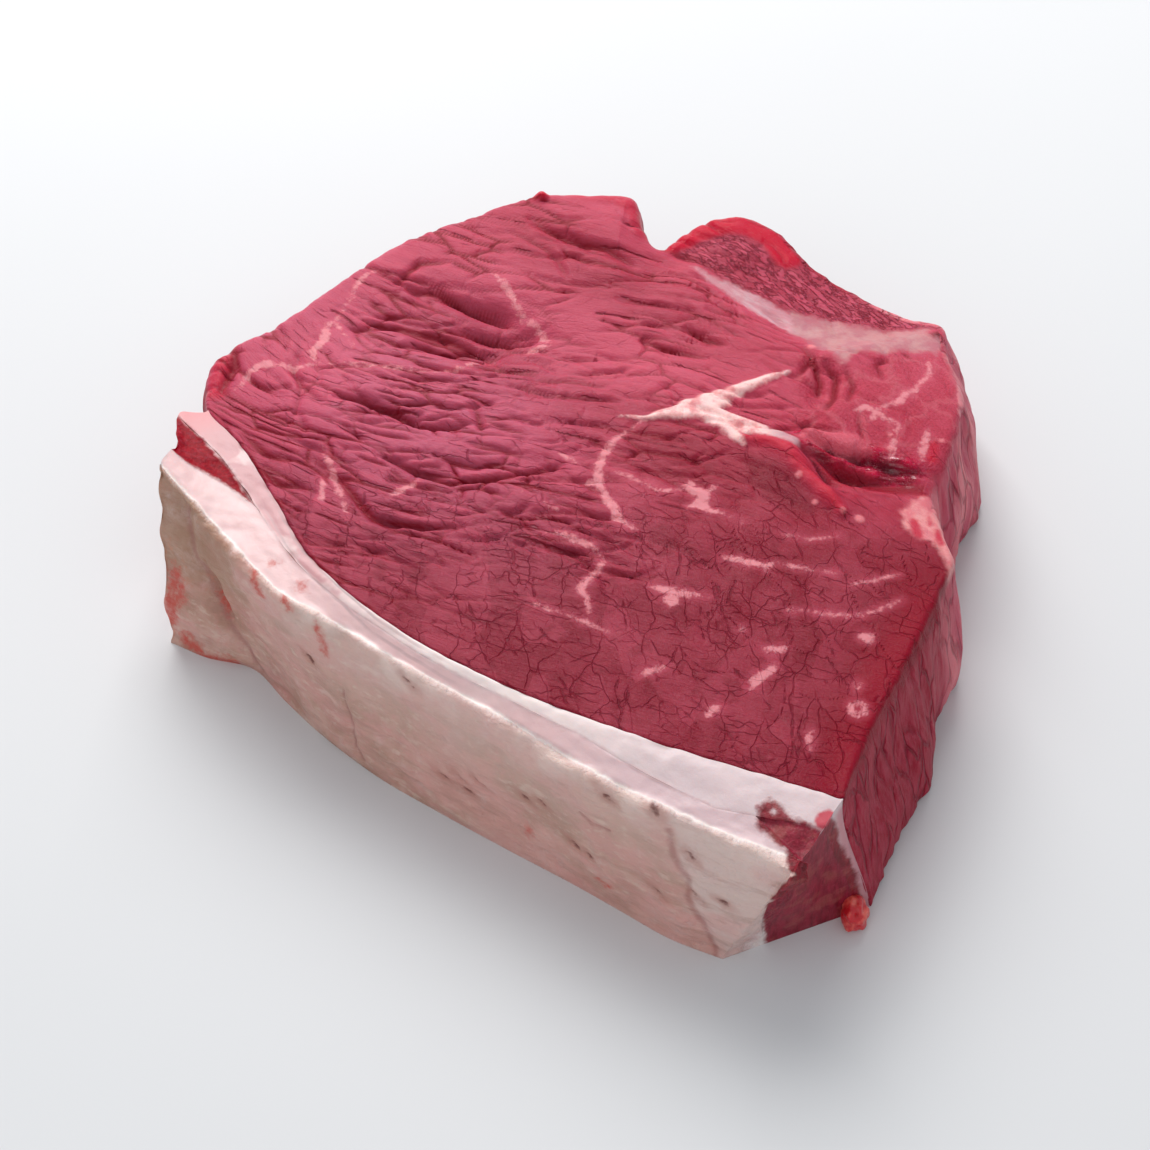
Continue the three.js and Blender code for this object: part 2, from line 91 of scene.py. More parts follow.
# Widths along the fat edge: place from 0 to 1, width at the top, width at the foot.
SEAM_WIDTH = [
    [0, 6.5, 6.5], [0.1, 7, 7], [0.2, 6.5, 6.5], [0.3, 4.4, 4.4], [0.42, 2.6, 2.6],
    [0.6, 2.6, 2.6], [0.7, 4, 4], [0.8, 8, 8], [0.88, 10.6, 10], [0.94, 9.4, 7], [1, 7.6, 3.6],
]
LEFT_MUSCLE_WIDTH = [[0, 12, 12], [0.05, 8.6, 9], [0.1, 4.2, 5], [0.16, 0, 0]]
RIGHT_MUSCLE_WIDTH = [[0.925, 0, 0], [0.95, 3, 6], [0.975, 6.4, 14], [1, 9.4, 22]]

# Swellings and hollows: x, y, height, half length, half width, direction in degrees.
SWELLS = [
    [-10, -8, 1.6, 60, 34, 0], [-57, 34, -3.6, 26, 10, 24], [-72, 2, 1.0, 20, 14, 30],
    [-62, 84, 1.6, 20, 9, 20], [8, 98, -2.2, 26, 8, 5], [-24, 104, 2.6, 14, 5, 5],
    [20, 92, 1.4, 9, 5, 60], [44, 78, 1.8, 13, 13, 0], [33, 44, 2.2, 17, 5, -4],
    [64, -6, -0.8, 22, 26, 0],
]
# Furrows of the solid: path, half width, depth.
FURROWS = [
    ([[26, 51], [38, 50.5], [47, 55], [56, 61], [66, 64]], 5.5, 8.5),
    ([[-34, 88], [-19, 86], [-4, 86], [8, 84]], 4, 1.8),
    ([[12, 80], [18, 74], [21, 67]], 3.5, 2.4),
    ([[-84, 34], [-68, 41], [-54, 45]], 3.5, 2.0),
    ([[-72, 21], [-60, 27], [-47, 35]], 3.5, 2.2),
    ([[-66, 33], [-56, 38], [-46, 44]], 3.5, 2.2),
    ([[-76, 74], [-60, 75], [-40, 79]], 3.5, 1.6),
    ([[-68, -5], [-52, 0], [-38, 6]], 3.5, 1.6),
    ([[-42, -19], [-30, -5], [-13, 12]], 3.5, 1.4),
]

# ---- what shows on the cut face ----
# Long creases: path, half width, depth.
CREASES = [
    ([[-84, 34], [-76, 40], [-67, 41], [-56, 44]], 1.2, 1.7),
    ([[-84, 14], [-75, 24], [-64, 29.5], [-50, 32.5]], 1.3, 1.7),
    ([[-72, 16], [-66, 24], [-53, 28], [-47, 29]], 1.1, 1.4),
    ([[-68, 40], [-59, 43], [-53, 44.5]], 1.0, 1.2),
    ([[-66, 33], [-57, 37], [-52, 39], [-47, 43]], 1.1, 1.5),
    ([[-53, 24.6], [-46, 28], [-37, 32]], 1.0, 1.4),
    ([[-70, -6.6], [-64, -2.6], [-56, -0.6], [-47, 0], [-39, 6.5]], 1.3, 2.4),
    ([[-50, -14], [-39, -12.6], [-29, -10], [-23, -3.3], [-14, 8], [-12.7, 12]], 1.1, 2.2),
    ([[-61, -24], [-48, -26], [-35, -30], [-28, -28]], 1.2, 1.6),
    ([[-79, -28], [-69, -30], [-62, -28]], 1.2, 1.6),
    ([[-75, -31], [-67, -35], [-60, -35], [-54, -32]], 1.1, 1.6),
    ([[-86, 33], [-86, 44], [-80, 49]], 1.0, 1.6),
    ([[-76, 74], [-68, 74], [-61, 75], [-53, 78], [-43, 78]], 1.3, 2.2),
    ([[-42, 13.5], [-35, 8], [-34, 8]], 0.9, 1.4),
    ([[-26, 57.6], [-19, 58.6], [-8, 62.4]], 1.0, 1.6),
    ([[-20, 67.4], [-15, 67], [-7, 68.6]], 1.0, 1.6),
    ([[5, 82], [11.5, 78], [17, 73.3], [19.6, 68]], 1.0, 1.5),
    ([[13.4, 79.5], [19.3, 76.8], [23.4, 69.6], [24.2, 64.4]], 1.0, 1.5),
    ([[18.6, 80.7], [24.5, 76.5], [27.2, 69.8]], 1.1, 1.2),
    ([[10, 81.4], [11.6, 75], [12.5, 69.7]], 0.9, 1.2),
    ([[25, 91], [24, 87], [29, 83]], 0.9, 1.2),
    ([[28, 51.5], [38, 51], [46, 53.5], [56, 60], [67, 62]], 3.2, 1.6),
    ([[-103, -6], [-97, -12], [-93, -22]], 1.4, 2.0),
]
# Thin cracks where the face is smooth.
CRACKS = [
    [[22.6, 8.9], [27.6, 3.8], [30.1, -0.7], [31, -3.9]],
    [[14.6, 2.5], [21.1, -1.5], [25.4, -4.6], [27.5, -6.7]],
    [[27.3, 22.2], [32.6, 18.3], [37.4, 15.6], [41.9, 15.3], [44.6, 11]],
    [[22.3, 19.4], [26.6, 16.2], [30.9, 13], [33.9, 10.2], [34.3, 6.6], [37.1, 2.3]],
    [[38.3, -3.1], [43.3, -9.1], [47.7, -13]],
    [[50.4, 13.1], [55.1, 7.9], [57.6, 3.7], [59.1, -1.3]],
    [[60.9, 22.9], [64.9, 18.4], [66.5, 12.2], [69.3, 6.9], [74.9, 4.1]],
    [[67.6, 3.1], [73.1, 0.2], [78.1, -1.8], [79.7, -5.3]],
    [[63.3, 39.2], [68.5, 34.2], [72.5, 31]],
    [[68.5, -10.7], [72.9, -15.6], [76.4, -21], [81.4, -25]],
    [[6.2, 34.1], [14.3, 35.1], [23.7, 34.2], [29.2, 31.9], [35.3, 31.3], [41.4, 30.8]],
    [[60.8, 8.8], [65.9, 6.7], [71.5, 2.6]],
    [[70, 17.5], [76.1, 12.5], [81.7, 9.6], [84.3, 4.4]],
    [[43, -1.8], [48.8, -3.5], [54.5, -5], [56.8, -5.7]],
]
# Thin veins of fat: path, half width.
VEINS = [
    ([[-7.4, 33], [-8, 25], [-7, 19], [-4.5, 14], [-1.8, 11], [2, 8.5], [6, 6.8], [9, 4.7], [14, 5]], 0.85),
    ([[-5, 9.8], [-2.9, 10.6]], 0.5),
    ([[-1.3, -9], [2.4, -7], [8.6, -5.6], [14, -6.6]], 0.45),
    ([[14.2, -6.8], [14.7, -11.3], [15.5, -15], [15.6, -17.5], [18.5, -18.6], [21.8, -22]], 0.75),
    ([[14, 23.3], [16.7, 23.2], [19, 24.3], [20, 21.4], [22.7, 20]], 1.05),
    ([[19, 24.3], [19.6, 28.6]], 0.4),
    ([[20, 21.4], [18.6, 17.8]], 0.35),
    ([[14, 25.6], [15.5, 23.5]], 0.7),
    ([[22.7, 20], [25.5, 21.6], [31, 22.4]], 0.4),
    ([[-2, 16.3], [5, 17.5], [11, 17.7], [14.6, 22.8]], 0.3),
    ([[27.4, -6.8], [30.4, -5.2], [33.5, -4.1], [39, -1.3]], 0.7),
    ([[32.5, -5.7], [34.3, -8.5]], 1.2),
    ([[33.4, 10], [37.5, 13], [41, 13.9], [43.3, 15], [44.1, 17.3]], 0.6),
    ([[43.3, 15], [44.2, 13.4]], 0.7),
    ([[44.5, 17.6], [49, 19.3], [57, 23.3]], 0.3),
    ([[56.8, -4.9], [59.7, -3.3], [61, -0.9]], 0.8),
    ([[62.2, -6.8], [61.5, -10], [61, -13.2], [61.5, -15.4]], 0.8),
    ([[43.4, -22.8], [42.6, -25.6], [41, -27.6]], 0.6),
    ([[59.5, -23.8], [58.9, -26], [58.8, -27.6]], 0.7),
    ([[78.2, -16.4], [79.6, -19.2], [81.2, -21]], 0.5),
    ([[55, 7.4], [58.7, 10], [66, 14.7], [68.5, 17.3], [71, 22], [72.4, 25.8]], 0.25),
    ([[61, 22.8], [64.6, 26.8], [68, 32.3]], 0.25),
    ([[40.5, 25.4], [46, 28], [51, 33.6]], 0.2),
    ([[-15.8, -2.2], [-8, -2.6], [-2, -1.4]], 0.2),
    ([[9.9, -27.5], [18, -25], [28.2, -22.9]], 0.2),
    ([[-15.3, 13.2], [-10.7, 13.2]], 0.5),
    ([[-93, 35], [-93.4, 29.7], [-91, 24], [-88, 15]], 0.5),
    ([[-87.5, 14.4], [-88, 12], [-85, 7], [-84, 2.8], [-81, 0]], 0.9),
    ([[-81.3, -0.3], [-83.7, -3.7], [-87, -5.3], [-91, -8], [-92.3, -11], [-91, -14.5],
      [-90.5, -18.2]], 0.7),
    ([[-87.5, 14.4], [-82.8, 11.8], [-77, 9.9]], 0.4),
    ([[-81, 0], [-75, 4], [-66, 10], [-62, 12.5], [-56.3, 16.8]], 0.3),
    ([[-69, 52.8], [-63, 51], [-58.6, 48.7], [-53.6, 46]], 0.7),
    ([[-53.6, 46], [-50.5, 46.7], [-45.8, 44.5], [-42.5, 43.9]], 0.6),
    ([[-42.5, 43.9], [-45, 41], [-45.6, 37.7]], 0.8),
    ([[-50, 32], [-53, 26.7], [-53, 22.6], [-56.3, 16.8]], 0.4),
    ([[-37, -22.7], [-36, -18.7], [-35, -14.8]], 0.85),
    ([[-60.3, -19.8], [-52.8, -24.8], [-47, -28.4], [-40, -33.5]], 0.5),
    ([[-52.7, -28], [-48, -33.6]], 0.4),
    ([[32.7, 97], [35.5, 93.8], [35.7, 89], [36.6, 86], [35.5, 82.6], [36.3, 79], [34.3, 75],
      [34.2, 72.2]], 0.6),
    ([[34.2, 72.2], [31.2, 71.6], [29.9, 69.2]], 0.6),
    ([[34.2, 72.2], [37, 71.5], [40.2, 72.3], [42.4, 68.4]], 0.55),
    ([[33.4, 73.5], [34.8, 68.6]], 0.4),
    ([[42.4, 68.4], [44.9, 62]], 0.6),
    ([[46.9, 75.1], [49.1, 69.7], [51, 66]], 0.7),
    ([[39.8, 100], [45, 93], [50, 84]], 0.8),
]
# Ring-shaped flecks of gristle: x, y, radius, half width of the ring.
RINGS = [(82.9, -5.7, 1.7, 0.45), (79, -0.5, 0.6, 0.1), (72.7, 12.1, 0.9, 0.4), (50.2, -3.4, 0.5, 0.2)]
# The broad pale seam that forks towards the small muscle: path with its half widths.
SEAM_STROKES = [
    ([[-12, 32], [-6.6, 35.3], [-4.8, 38.5], [-1, 43]], [0.2, 0.7, 1.4, 2.6]),
    ([[-3, 40.5], [-1, 44.5], [2, 48], [3.8, 51.2]], [1.6, 3.0, 3.0, 2.0]),
    ([[0.5, 48.5], [3, 54], [5, 59], [7, 63.5], [9.6, 69.6]], [2.4, 1.9, 1.6, 1.3, 0.5]),
    ([[1.2, 45.9], [6, 46], [11, 46.8], [17, 48], [22, 49.5], [25.5, 50.1]], [2.8, 2.9, 2.7, 2.3, 2.2, 1.8]),
    ([[9, 45.6], [13.7, 43], [17.3, 41.7]], [2.0, 1.2, 0.3]),
]
# The soft pale film over the far side of the wet crevice, and the wet strands in it.
FILM = [
    [23.7, 53.2], [26, 57], [31, 61.5], [36, 63], [39.6, 60.2], [37.6, 56.8], [32.6, 55.6], [28.6, 53.9],
]
STRANDS = [
    ([[27.5, 53], [34, 53.6], [39.6, 54.9], [44.6, 56.4]], [0.3, 1.1, 1.2, 0.4], 1.5),
    ([[31, 50.6], [36.5, 49.6], [42, 49], [47.5, 50.2], [53, 54]], [0.2, 0.8, 1.0, 0.9, 0.3], 1.0),
    ([[43, 59.8], [47.6, 62.4], [52, 63.6]], [0.3, 1.0, 0.4], 1.3),
]
# Dark lines in the crevice, their shadow painted: path, half width, depth.
CREVICE_LINES = [
    ([[25, 50.6], [31.3, 50], [36.9, 47.8], [41.3, 46.4], [46, 45]], 0.8, 1.3),
    ([[30, 51.8], [37.2, 51.6], [42.2, 52.6], [47.3, 56.7], [52, 61]], 0.8, 1.1),
    ([[26, 54.6], [34, 55.9], [41, 59], [47.5, 60.8], [54.3, 65.5]], 1.2, 2.0),
]
# The near flank of the crevice rises gently from it: path, half width, rise.
FLANK = ([[33, 50.6], [41, 51.5], [48, 53.8], [57, 59.8], [67, 62.8]], 4.6, 4.6)
# The rounded lip in front of the crevice, and the beads of fat on it: x, y, radius.
LIP = (
    [[16, 43.6], [22, 46], [26.6, 46.6], [30.8, 45.2], [35.6, 43.3], [40.4, 41.5], [46.6, 39.3]],
    [0.4, 1.5, 2.0, 2.1, 1.9, 1.5, 0.8],
)
BEADS = [
    (33.2, 41.4, 0.8), (40.6, 37.6, 0.7), (47.4, 39.2, 0.6), (51.4, 40.2, 1.1), (41.3, 67.8, 0.6),
    (43.5, 63.9, 0.6), (51.4, 74.3, 0.6), (8, 82.4, 1.0),
]
# The silverskin, as a path with its half widths, and the corners of the two patches of pink fat.
SILVERSKIN = (
    [[-33, 87.5], [-25.5, 87.4], [-18.6, 88.2], [-11.5, 88.4], [-4.6, 88.3], [3, 88.5]],
    [0.5, 1.6, 2.6, 3.2, 3.4, 3.0],
)
PINK_FAT = [
    [-6, 92], [0.4, 95.4], [9.8, 99.8], [17.6, 103.6], [24.4, 109.2], [31, 106], [33, 101], [28.5, 99.3],
    [24.7, 96.2], [22.3, 91.1], [19.1, 87.1], [18, 81.6], [12.8, 81.9], [8.2, 82.8], [0, 86],
]
CORNER_FAT = [
    [60, 46.2], [56, 50], [56.6, 55], [58.6, 60], [63, 62.4], [69, 57.5], [74, 51.4], [78.5, 44.6],
    [81, 36], [77.5, 38.4], [74, 42.4], [70, 45.6], [67.2, 46.2], [63.4, 45],
]
# Red flecks in the corner's fat: path, half width.
CORNER_RED = [
    ([[60.6, 49], [64, 45.6]], 1.1), ([[66.4, 50], [69.4, 46.8]], 0.8),
    ([[62.4, 52.6], [64, 50.8]], 0.4),
]
# The patches of painted shade in the far corner and of painted shadow below the lip.
DARK_CORNER = [[26.7, 107.1], [28, 110.4], [34.8, 107.5], [35.5, 104.9], [31.7, 103.4]]
LIP_SHADE = [
    [20, 39.5], [26, 41.5], [33, 40.6], [38.5, 38], [41.5, 35.5], [37.5, 32.6], [31.3, 32.4], [24, 34.6],
]
# The small upright nub on the far rim: x, y, radius.
RIM_NUB = (-78.4, 82.6, 2.2)
# Where the meat is a deeper red, or paler: x, y, half length, half width, share.
DEEPER = [(7, 31, 20, 9, 0.8), (-42, 70, 28, 9, 0.5), (-57, 32, 22, 9, 0.4), (60, -5, 26, 20, 0.15)]
PALER = [(-24, 48, 20, 9, 0.45), (-82, -4, 14, 10, 0.4), (-22, 101, 12, 6, 0.2)]
# The near edge of the muscle behind the silverskin, which starts at an x, and the small muscle.
REAR_LINE = [
    [-48, 89], [-34, 89.5], [-19, 88.8], [-8.5, 90.4], [-1, 92.8], [11, 98], [18, 102.6], [25, 108.6],
    [34, 114],
]
REAR_START = -46
SMALL_MUSCLE = [
    [8, 82], [6, 76], [10, 70], [18, 62], [25, 50], [40, 55], [50, 62], [60, 66], [60, 80], [50, 96],
    [36, 104], [22, 92], [20, 82],
]
# Thick bright rims: path, half width or half widths.
REAR_RIM = ([[-43, 92], [-41, 99], [-37, 106], [-31, 110], [-24, 111], [-18, 108]], 3.4)
FOLD_RIM = ([[-72, 89], [-62, 94], [-55, 93], [-50, 89]], 2.0)
RIGHT_RIM = ([[91, -24], [87, -12], [82, 10], [77, 29]], [1, 3, 3, 1])
LEFT_TIP = ([[-103, -8], [-98, -16], [-94, -22]], 2.2)
RED_BLOB = ([[50.6, 71.6], [52.6, 68.4]], 1.4)
# The right edge, beside which the meat is a deeper red.
RIGHT_MARGIN = [[96, -27], [91, -10], [85, 12], [78, 34]]
# Where the face wrinkles less: x, y, half length, half width, share.
SMOOTHER = [(-28, 34, 16, 14, 0.6), (2, 68, 17, 13, 0.55), (-57, 46, 9, 4.5, 0.7)]
# Where the face is crazed, and where a greyish mauve sheen is painted: x, y, half length, half width.
CRAZED = (-42, -6, 34, 26)
PAINTED_SHEEN_SPOT = (-55, 4, 38, 30)

FACE_SEED = 11
CELL_SEED = 21
# Random creases, and random cracks with their two directions in degrees.
CREASE_SEED = 5
CREASE_COUNT = 260
SPLIT_COUNT = 64
SPLIT_TURNS = [-52, 8]
SPLIT_CHANCES = [0.7, 0.3]
# Half width of the crevice, and how blunt the distances to thin things are.
CREVICE_WIDTH = 4.6
VEIN_BLUNT = 0.6
RING_BLUNT = 0.5
CRACK_BLUNT = 0.5
# The furthest that a mark tells of a line, and the mark of points far from everything.
LINE_LIMIT = 3
FAR_OUTSIDE = -9.0

# Direction of the creases: x, y, degrees.
GRAIN = np.array([
    [-92, 0, -25], [-85, 35, 15], [-75, 60, 20], [-60, 80, 8], [-40, 80, 15], [-20, 66, 4],
    [0, 75, -12], [-4, 62, -4], [-60, 30, 26], [-30, 30, 35], [0, 30, 38], [-60, -5, 20], [-30, -10, 35],
    [-10, -20, 40], [-50, -30, 8], [-10, -40, 8], [30, -30, 20], [30, 10, 39], [70, 0, 39],
    [30, 85, -45], [48, 75, -45], [-10, 102, -4],
])


# ---- small maths ----
def smooth(value, low=0.0, high=1.0):
    """0 below low, 1 above high, eased between: 3t^2 - 2t^3."""
    t = np.clip((value - low) / (high - low), 0, 1)
    return t * t * (3 - 2 * t)


def mix(a, b, share):
    """a where the share is 0, b where it is 1."""
    return a + (b - a) * share


def bell(x, y, cx, cy, long, wide):
    """1 in the middle of a spot, falling off like a bell over its half length and half width."""
    return np.exp(-0.5 * (((x - cx) / long) ** 2 + ((y - cy) / wide) ** 2))


class Noise:
    """Smooth random heights from -1 to 1: a seeded lattice of numbers, eased between its points."""

    SIZE = 48

    def __init__(self, seed):
        self.values = np.random.default_rng(seed).uniform(-1, 1, (self.SIZE,) * 3)

    def __call__(self, x, y, z=0.0):
        p = np.stack(np.broadcast_arrays(x, y, z)).astype(float)
        cell = np.floor(p).astype(int)
        share = smooth(p - cell)
        total = 0.0
        for corner in range(8):
            step = [(corner >> axis) & 1 for axis in range(3)]
            index = [(cell[axis] + step[axis]) % self.SIZE for axis in range(3)]
            weight = np.prod([share[a] if step[a] else 1 - share[a] for a in range(3)], axis=0)
            total = total + weight * self.values[tuple(index)]
        return total


def centripetal(rows, closed, steps):
    """Centripetal Catmull-Rom curve through rows of x, y, z, sampled evenly in its parameter.

    Each piece is a cubic; its end slopes weigh the chords by the square root of their length.
    """
    points = np.array(rows, float)
    count = len(points)
    if closed:
        padded = np.vstack([points[-1], points, points[0], points[1]])
    else:
        padded = np.vstack([2 * points[0] - points[1], points, 2 * points[-1] - points[-2]])
    pieces = count if closed else count - 1
    place = np.linspace(0, pieces, steps + 1)
    piece = np.minimum(place.astype(int), pieces - 1)
    t = (place - piece)[:, None]
    p0, p1, p2, p3 = (padded[piece + k] for k in range(4))
    d0, d1, d2 = (np.sqrt(np.linalg.norm(b - a, axis=1))[:, None] for a, b in ((p0, p1), (p1, p2), (p2, p3)))
    slope1 = d1 * ((p1 - p0) / d0 - (p2 - p0) / (d0 + d1) + (p2 - p1) / d1)
    slope2 = d1 * ((p2 - p1) / d1 - (p3 - p1) / (d1 + d2) + (p3 - p2) / d2)
    a = 2 * p1 - 2 * p2 + slope1 + slope2
    b = -3 * p1 + 3 * p2 - 2 * slope1 - slope2
    return ((a * t + b) * t + slope1) * t + p1


def running_length(samples):
    """Length along a chain of points, measured in plan."""
    return np.concatenate([[0], np.cumsum(np.hypot(*np.diff(samples[:, :2], axis=0).T))])


def along(samples, lengths, fraction):
    """Columns of the samples at fractions of the length."""
    return [np.interp(fraction * lengths[-1], lengths, column) for column in samples.T]


def stroke(x, y, path, widths=0.0, blunt=0.0):
    """How far each point lies inside a stroke round a chain of points, and the place along it.

    The nearest point of each straight piece is found, and the half width there is added. A blunt
    distance is rounded where it is 0, so that a coarse grid samples it evenly.
    """
    path = np.array(path, float)
    widths = np.broadcast_to(np.asarray(widths, float), (len(path),))
    best = np.full(np.shape(x), -1e9)
    place = np.zeros(np.shape(x))
    for k in range(len(path) - 1):
        (ax, ay), (dx, dy) = path[k], path[k + 1] - path[k]
        t = np.clip(((x - ax) * dx + (y - ay) * dy) / (dx * dx + dy * dy), 0, 1)
        away = np.hypot(x - ax - t * dx, y - ay - t * dy)
        inside = mix(widths[k], widths[k + 1], t) - np.hypot(away, blunt) + blunt
        better = inside > best
        best = np.where(better, inside, best)
        place = np.where(better, (k + t) / (len(path) - 1), place)
    return best, place


def inside_outline(x, y, corners):
    """Distance into a many-cornered patch, negative outside it."""
    path = np.array(corners + corners[:1], float)
    crossings = np.zeros(np.shape(x), int)
    for (ax, ay), (bx, by) in zip(path[:-1], path[1:]):
        spans = (ay > y) != (by > y)
        crossings += spans & (x < ax + (y - ay) * (bx - ax) / np.where(spans, by - ay, 1))
    distance = -stroke(x, y, path)[0]
    return np.where(crossings % 2 == 1, distance, -distance)


# ---- the lean's outline and the fat edge ----
LOOP_SAMPLES = 3200
_rows = np.array(OUTLINE, float)
_place = np.linspace(0, len(_rows), LOOP_SAMPLES + 1)
_row = _place.astype(int) % len(_rows)
_ease = smooth(_place - _place.astype(int))[:, None]
_offsets = mix(_rows[_row, 3:], _rows[(_row + 1) % len(_rows), 3:], _ease)
outline_samples = np.hstack([centripetal(_rows[:, :3], True, LOOP_SAMPLES), _offsets])
outline_lengths = running_length(outline_samples)
fat_start = outline_lengths[round(FAT_START / len(OUTLINE) * LOOP_SAMPLES)] / outline_lengths[-1]


def outline_at(fraction):
    """x, y, rim height, foot offset x and foot offset y at fractions of the outline's length."""
    return along(outline_samples, outline_lengths, np.mod(fraction, 1.0))


def outward_at(fraction):
    """Outward direction of the outline in plan, averaged over a short stretch."""
    reach = 0.006
    ax, ay = outline_at(fraction - reach)[:2]
    bx, by = outline_at(fraction + reach)[:2]
    length = np.hypot(bx - ax, by - ay)
    return (by - ay) / length, (ax - bx) / length


def foot_spread(depth):
    """Share of the foot offset that the wall has reached at a depth from 0 to 1."""
    beyond = 1.15
    return smooth(depth, 0, beyond) / smooth(1, 0, beyond)


def free_edge(fraction):
    """1 on the free part of the outline, 0 along the fat, eased over a short stretch."""
    ease = 0.02
    fraction = np.mod(fraction, 1.0)
    return smooth(fraction, 0, ease) * (1 - smooth(fraction, fat_start - ease, fat_start))


CURVE_SAMPLES = 400
ridge_samples = centripetal(RIDGE, False, CURVE_SAMPLES)
foot_samples = centripetal(FOOT, False, CURVE_SAMPLES)
ridge_lengths = running_length(ridge_samples)
foot_lengths = running_length(foot_samples)


def seam_face(place, depth):
    """The lean's face against the fat, at a place from left to right and a depth from 0 to 1."""
    x, y, z, fx, fy = outline_at(mix(fat_start, 1, place) - 1e-9 * (place >= 1))
    spread = foot_spread(depth)
    return x + fx * spread, y + fy * spread, z


def cap_section(place, depth):
    """Section across the fat edge: start, direction, width, and heights at both edges."""
    bx, by, bz = seam_face(place, depth)
    rx, ry, rz = along(ridge_samples, ridge_lengths, place)
    fx, fy, _ = along(foot_samples, foot_lengths, place)
    ax = mix(rx, fx, depth) - bx
    ay = mix(ry, fy, depth) - by
    length = np.hypot(ax, ay)
    width = length + FAT_BULGE * np.sin(math.pi * depth)
    return bx, by, ax / length, ay / length, width, bz, rz


def width_at(rows, place, depth):
    """A layer's width at a place and depth: most of the change is high up."""
    table = np.array(rows, float)
    top, foot = (np.interp(place, table[:, 0], table[:, k]) for k in (1, 2))
    return mix(top, foot, 1 - (1 - depth) ** 3)


def seam_outer(place, depth):
    """Distance from the lean to the seam fat's outer side."""
    return width_at(SEAM_WIDTH, place, depth)


def muscle_width(place, depth):
    """Width of the cap muscle, on whichever end the place lies."""
    left = width_at(LEFT_MUSCLE_WIDTH, place, depth)
    right = width_at(RIGHT_MUSCLE_WIDTH, place, depth)
    return np.where(place < 0.5, left, right)


def muscle_outer(place, depth):
    """Distance from the lean to the cap muscle's outer side."""
    return seam_outer(place, depth) + muscle_width(place, depth)


def skin_distance(place, depth):
    """Distance from the lean to the outer face, rounded at its top edge."""
    width, _, outer_top = cap_section(place, depth)[4:]
    edge = np.maximum(0, 1 - depth * outer_top / FAT_RIDGE_RADIUS)
    return width - FAT_RIDGE_RADIUS * 0.5 * (1 - np.sqrt(1 - edge * edge))


def cap_point(place, distance, depth, dip):
    """A point of the fat edge, at a distance from the lean: height falls evenly with depth."""
    bx, by, ax, ay = cap_section(place, depth)[:4]
    width, inner_top, outer_top = cap_section(place, np.zeros_like(depth))[4:]
    top = mix(inner_top, outer_top, smooth(distance / width)) - dip
    rise = smooth(distance, 0, END_SWELL_WIDTH)
    hump = rise * (1 - smooth(distance, END_SWELL_WIDTH, 3.2 * END_SWELL_WIDTH))
    swell = END_SWELL * np.exp(-place / END_SWELL_REACH) * hump
    return np.stack([bx + ax * distance - swell, by + ay * distance, top * (1 - depth)], axis=-1)


# ---- the grain of the meat ----
def grain_direction(x, y):
    """Direction of the creases in radians: the stated directions, weighed by nearness."""
    away = np.hypot(np.subtract.outer(x, GRAIN[:, 0]), np.subtract.outer(y, GRAIN[:, 1])) + 2
    weight = away ** -3
    return np.radians((weight * GRAIN[:, 2]).sum(-1) / weight.sum(-1))


GRAIN_STEP = 6.0
grain_x = np.arange(-114, 115, GRAIN_STEP)
grain_y = np.arange(-90, 130, GRAIN_STEP)


def solve_grain():
    """Coordinates along and across the grain on a coarse grid.

    Their slopes follow the grain's direction as nearly as they can: least squares over all
    neighbouring pairs of grid points.
    """
    nx, ny = len(grain_x), len(grain_y)
    gx, gy = np.meshgrid(grain_x, grain_y, indexing="ij")
    number = np.arange(nx * ny).reshape(nx, ny)
    turn = grain_direction(gx, gy)
    pairs = [(number[:-1], number[1:], np.cos, np.sin, turn[:-1] / 2 + turn[1:] / 2),
             (number[:, :-1], number[:, 1:], np.sin, np.cos, turn[:, :-1] / 2 + turn[:, 1:] / 2)]
    normal = np.zeros((nx * ny, nx * ny))
    right = np.zeros((nx * ny, 2))
    for axis, (first, second, along_of, across_of, angle) in enumerate(pairs):
        a, b, angle = first.ravel(), second.ravel(), angle.ravel()
        sign = -1 if axis == 0 else 1
        want = np.stack([along_of(angle), sign * across_of(angle)], axis=1) * GRAIN_STEP
        np.add.at(normal, (a, a), 1)
        np.add.at(normal, (b, b), 1)
        np.add.at(normal, (a, b), -1)
        np.add.at(normal, (b, a), -1)
        np.add.at(right, b, want)
        np.add.at(right, a, -want)
    normal[0, 0] += 1
    return np.linalg.solve(normal, right).reshape(nx, ny, 2)


GRAIN_PLACES = solve_grain()


def grain_at(x, y):
    """Coordinates along and across the grain at plan points, in mm."""
    p = (np.clip(x, grain_x[0], grain_x[-1] - 0.01) - grain_x[0]) / GRAIN_STEP
    q = (np.clip(y, grain_y[0], grain_y[-1] - 0.01) - grain_y[0]) / GRAIN_STEP
    i, j = p.astype(int), q.astype(int)
    s, t = (p - i)[..., None], (q - j)[..., None]
    low = mix(GRAIN_PLACES[i, j], GRAIN_PLACES[i + 1, j], s)
    high = mix(GRAIN_PLACES[i, j + 1], GRAIN_PLACES[i + 1, j + 1], s)
    both = mix(low, high, t)
    return both[..., 0], both[..., 1]


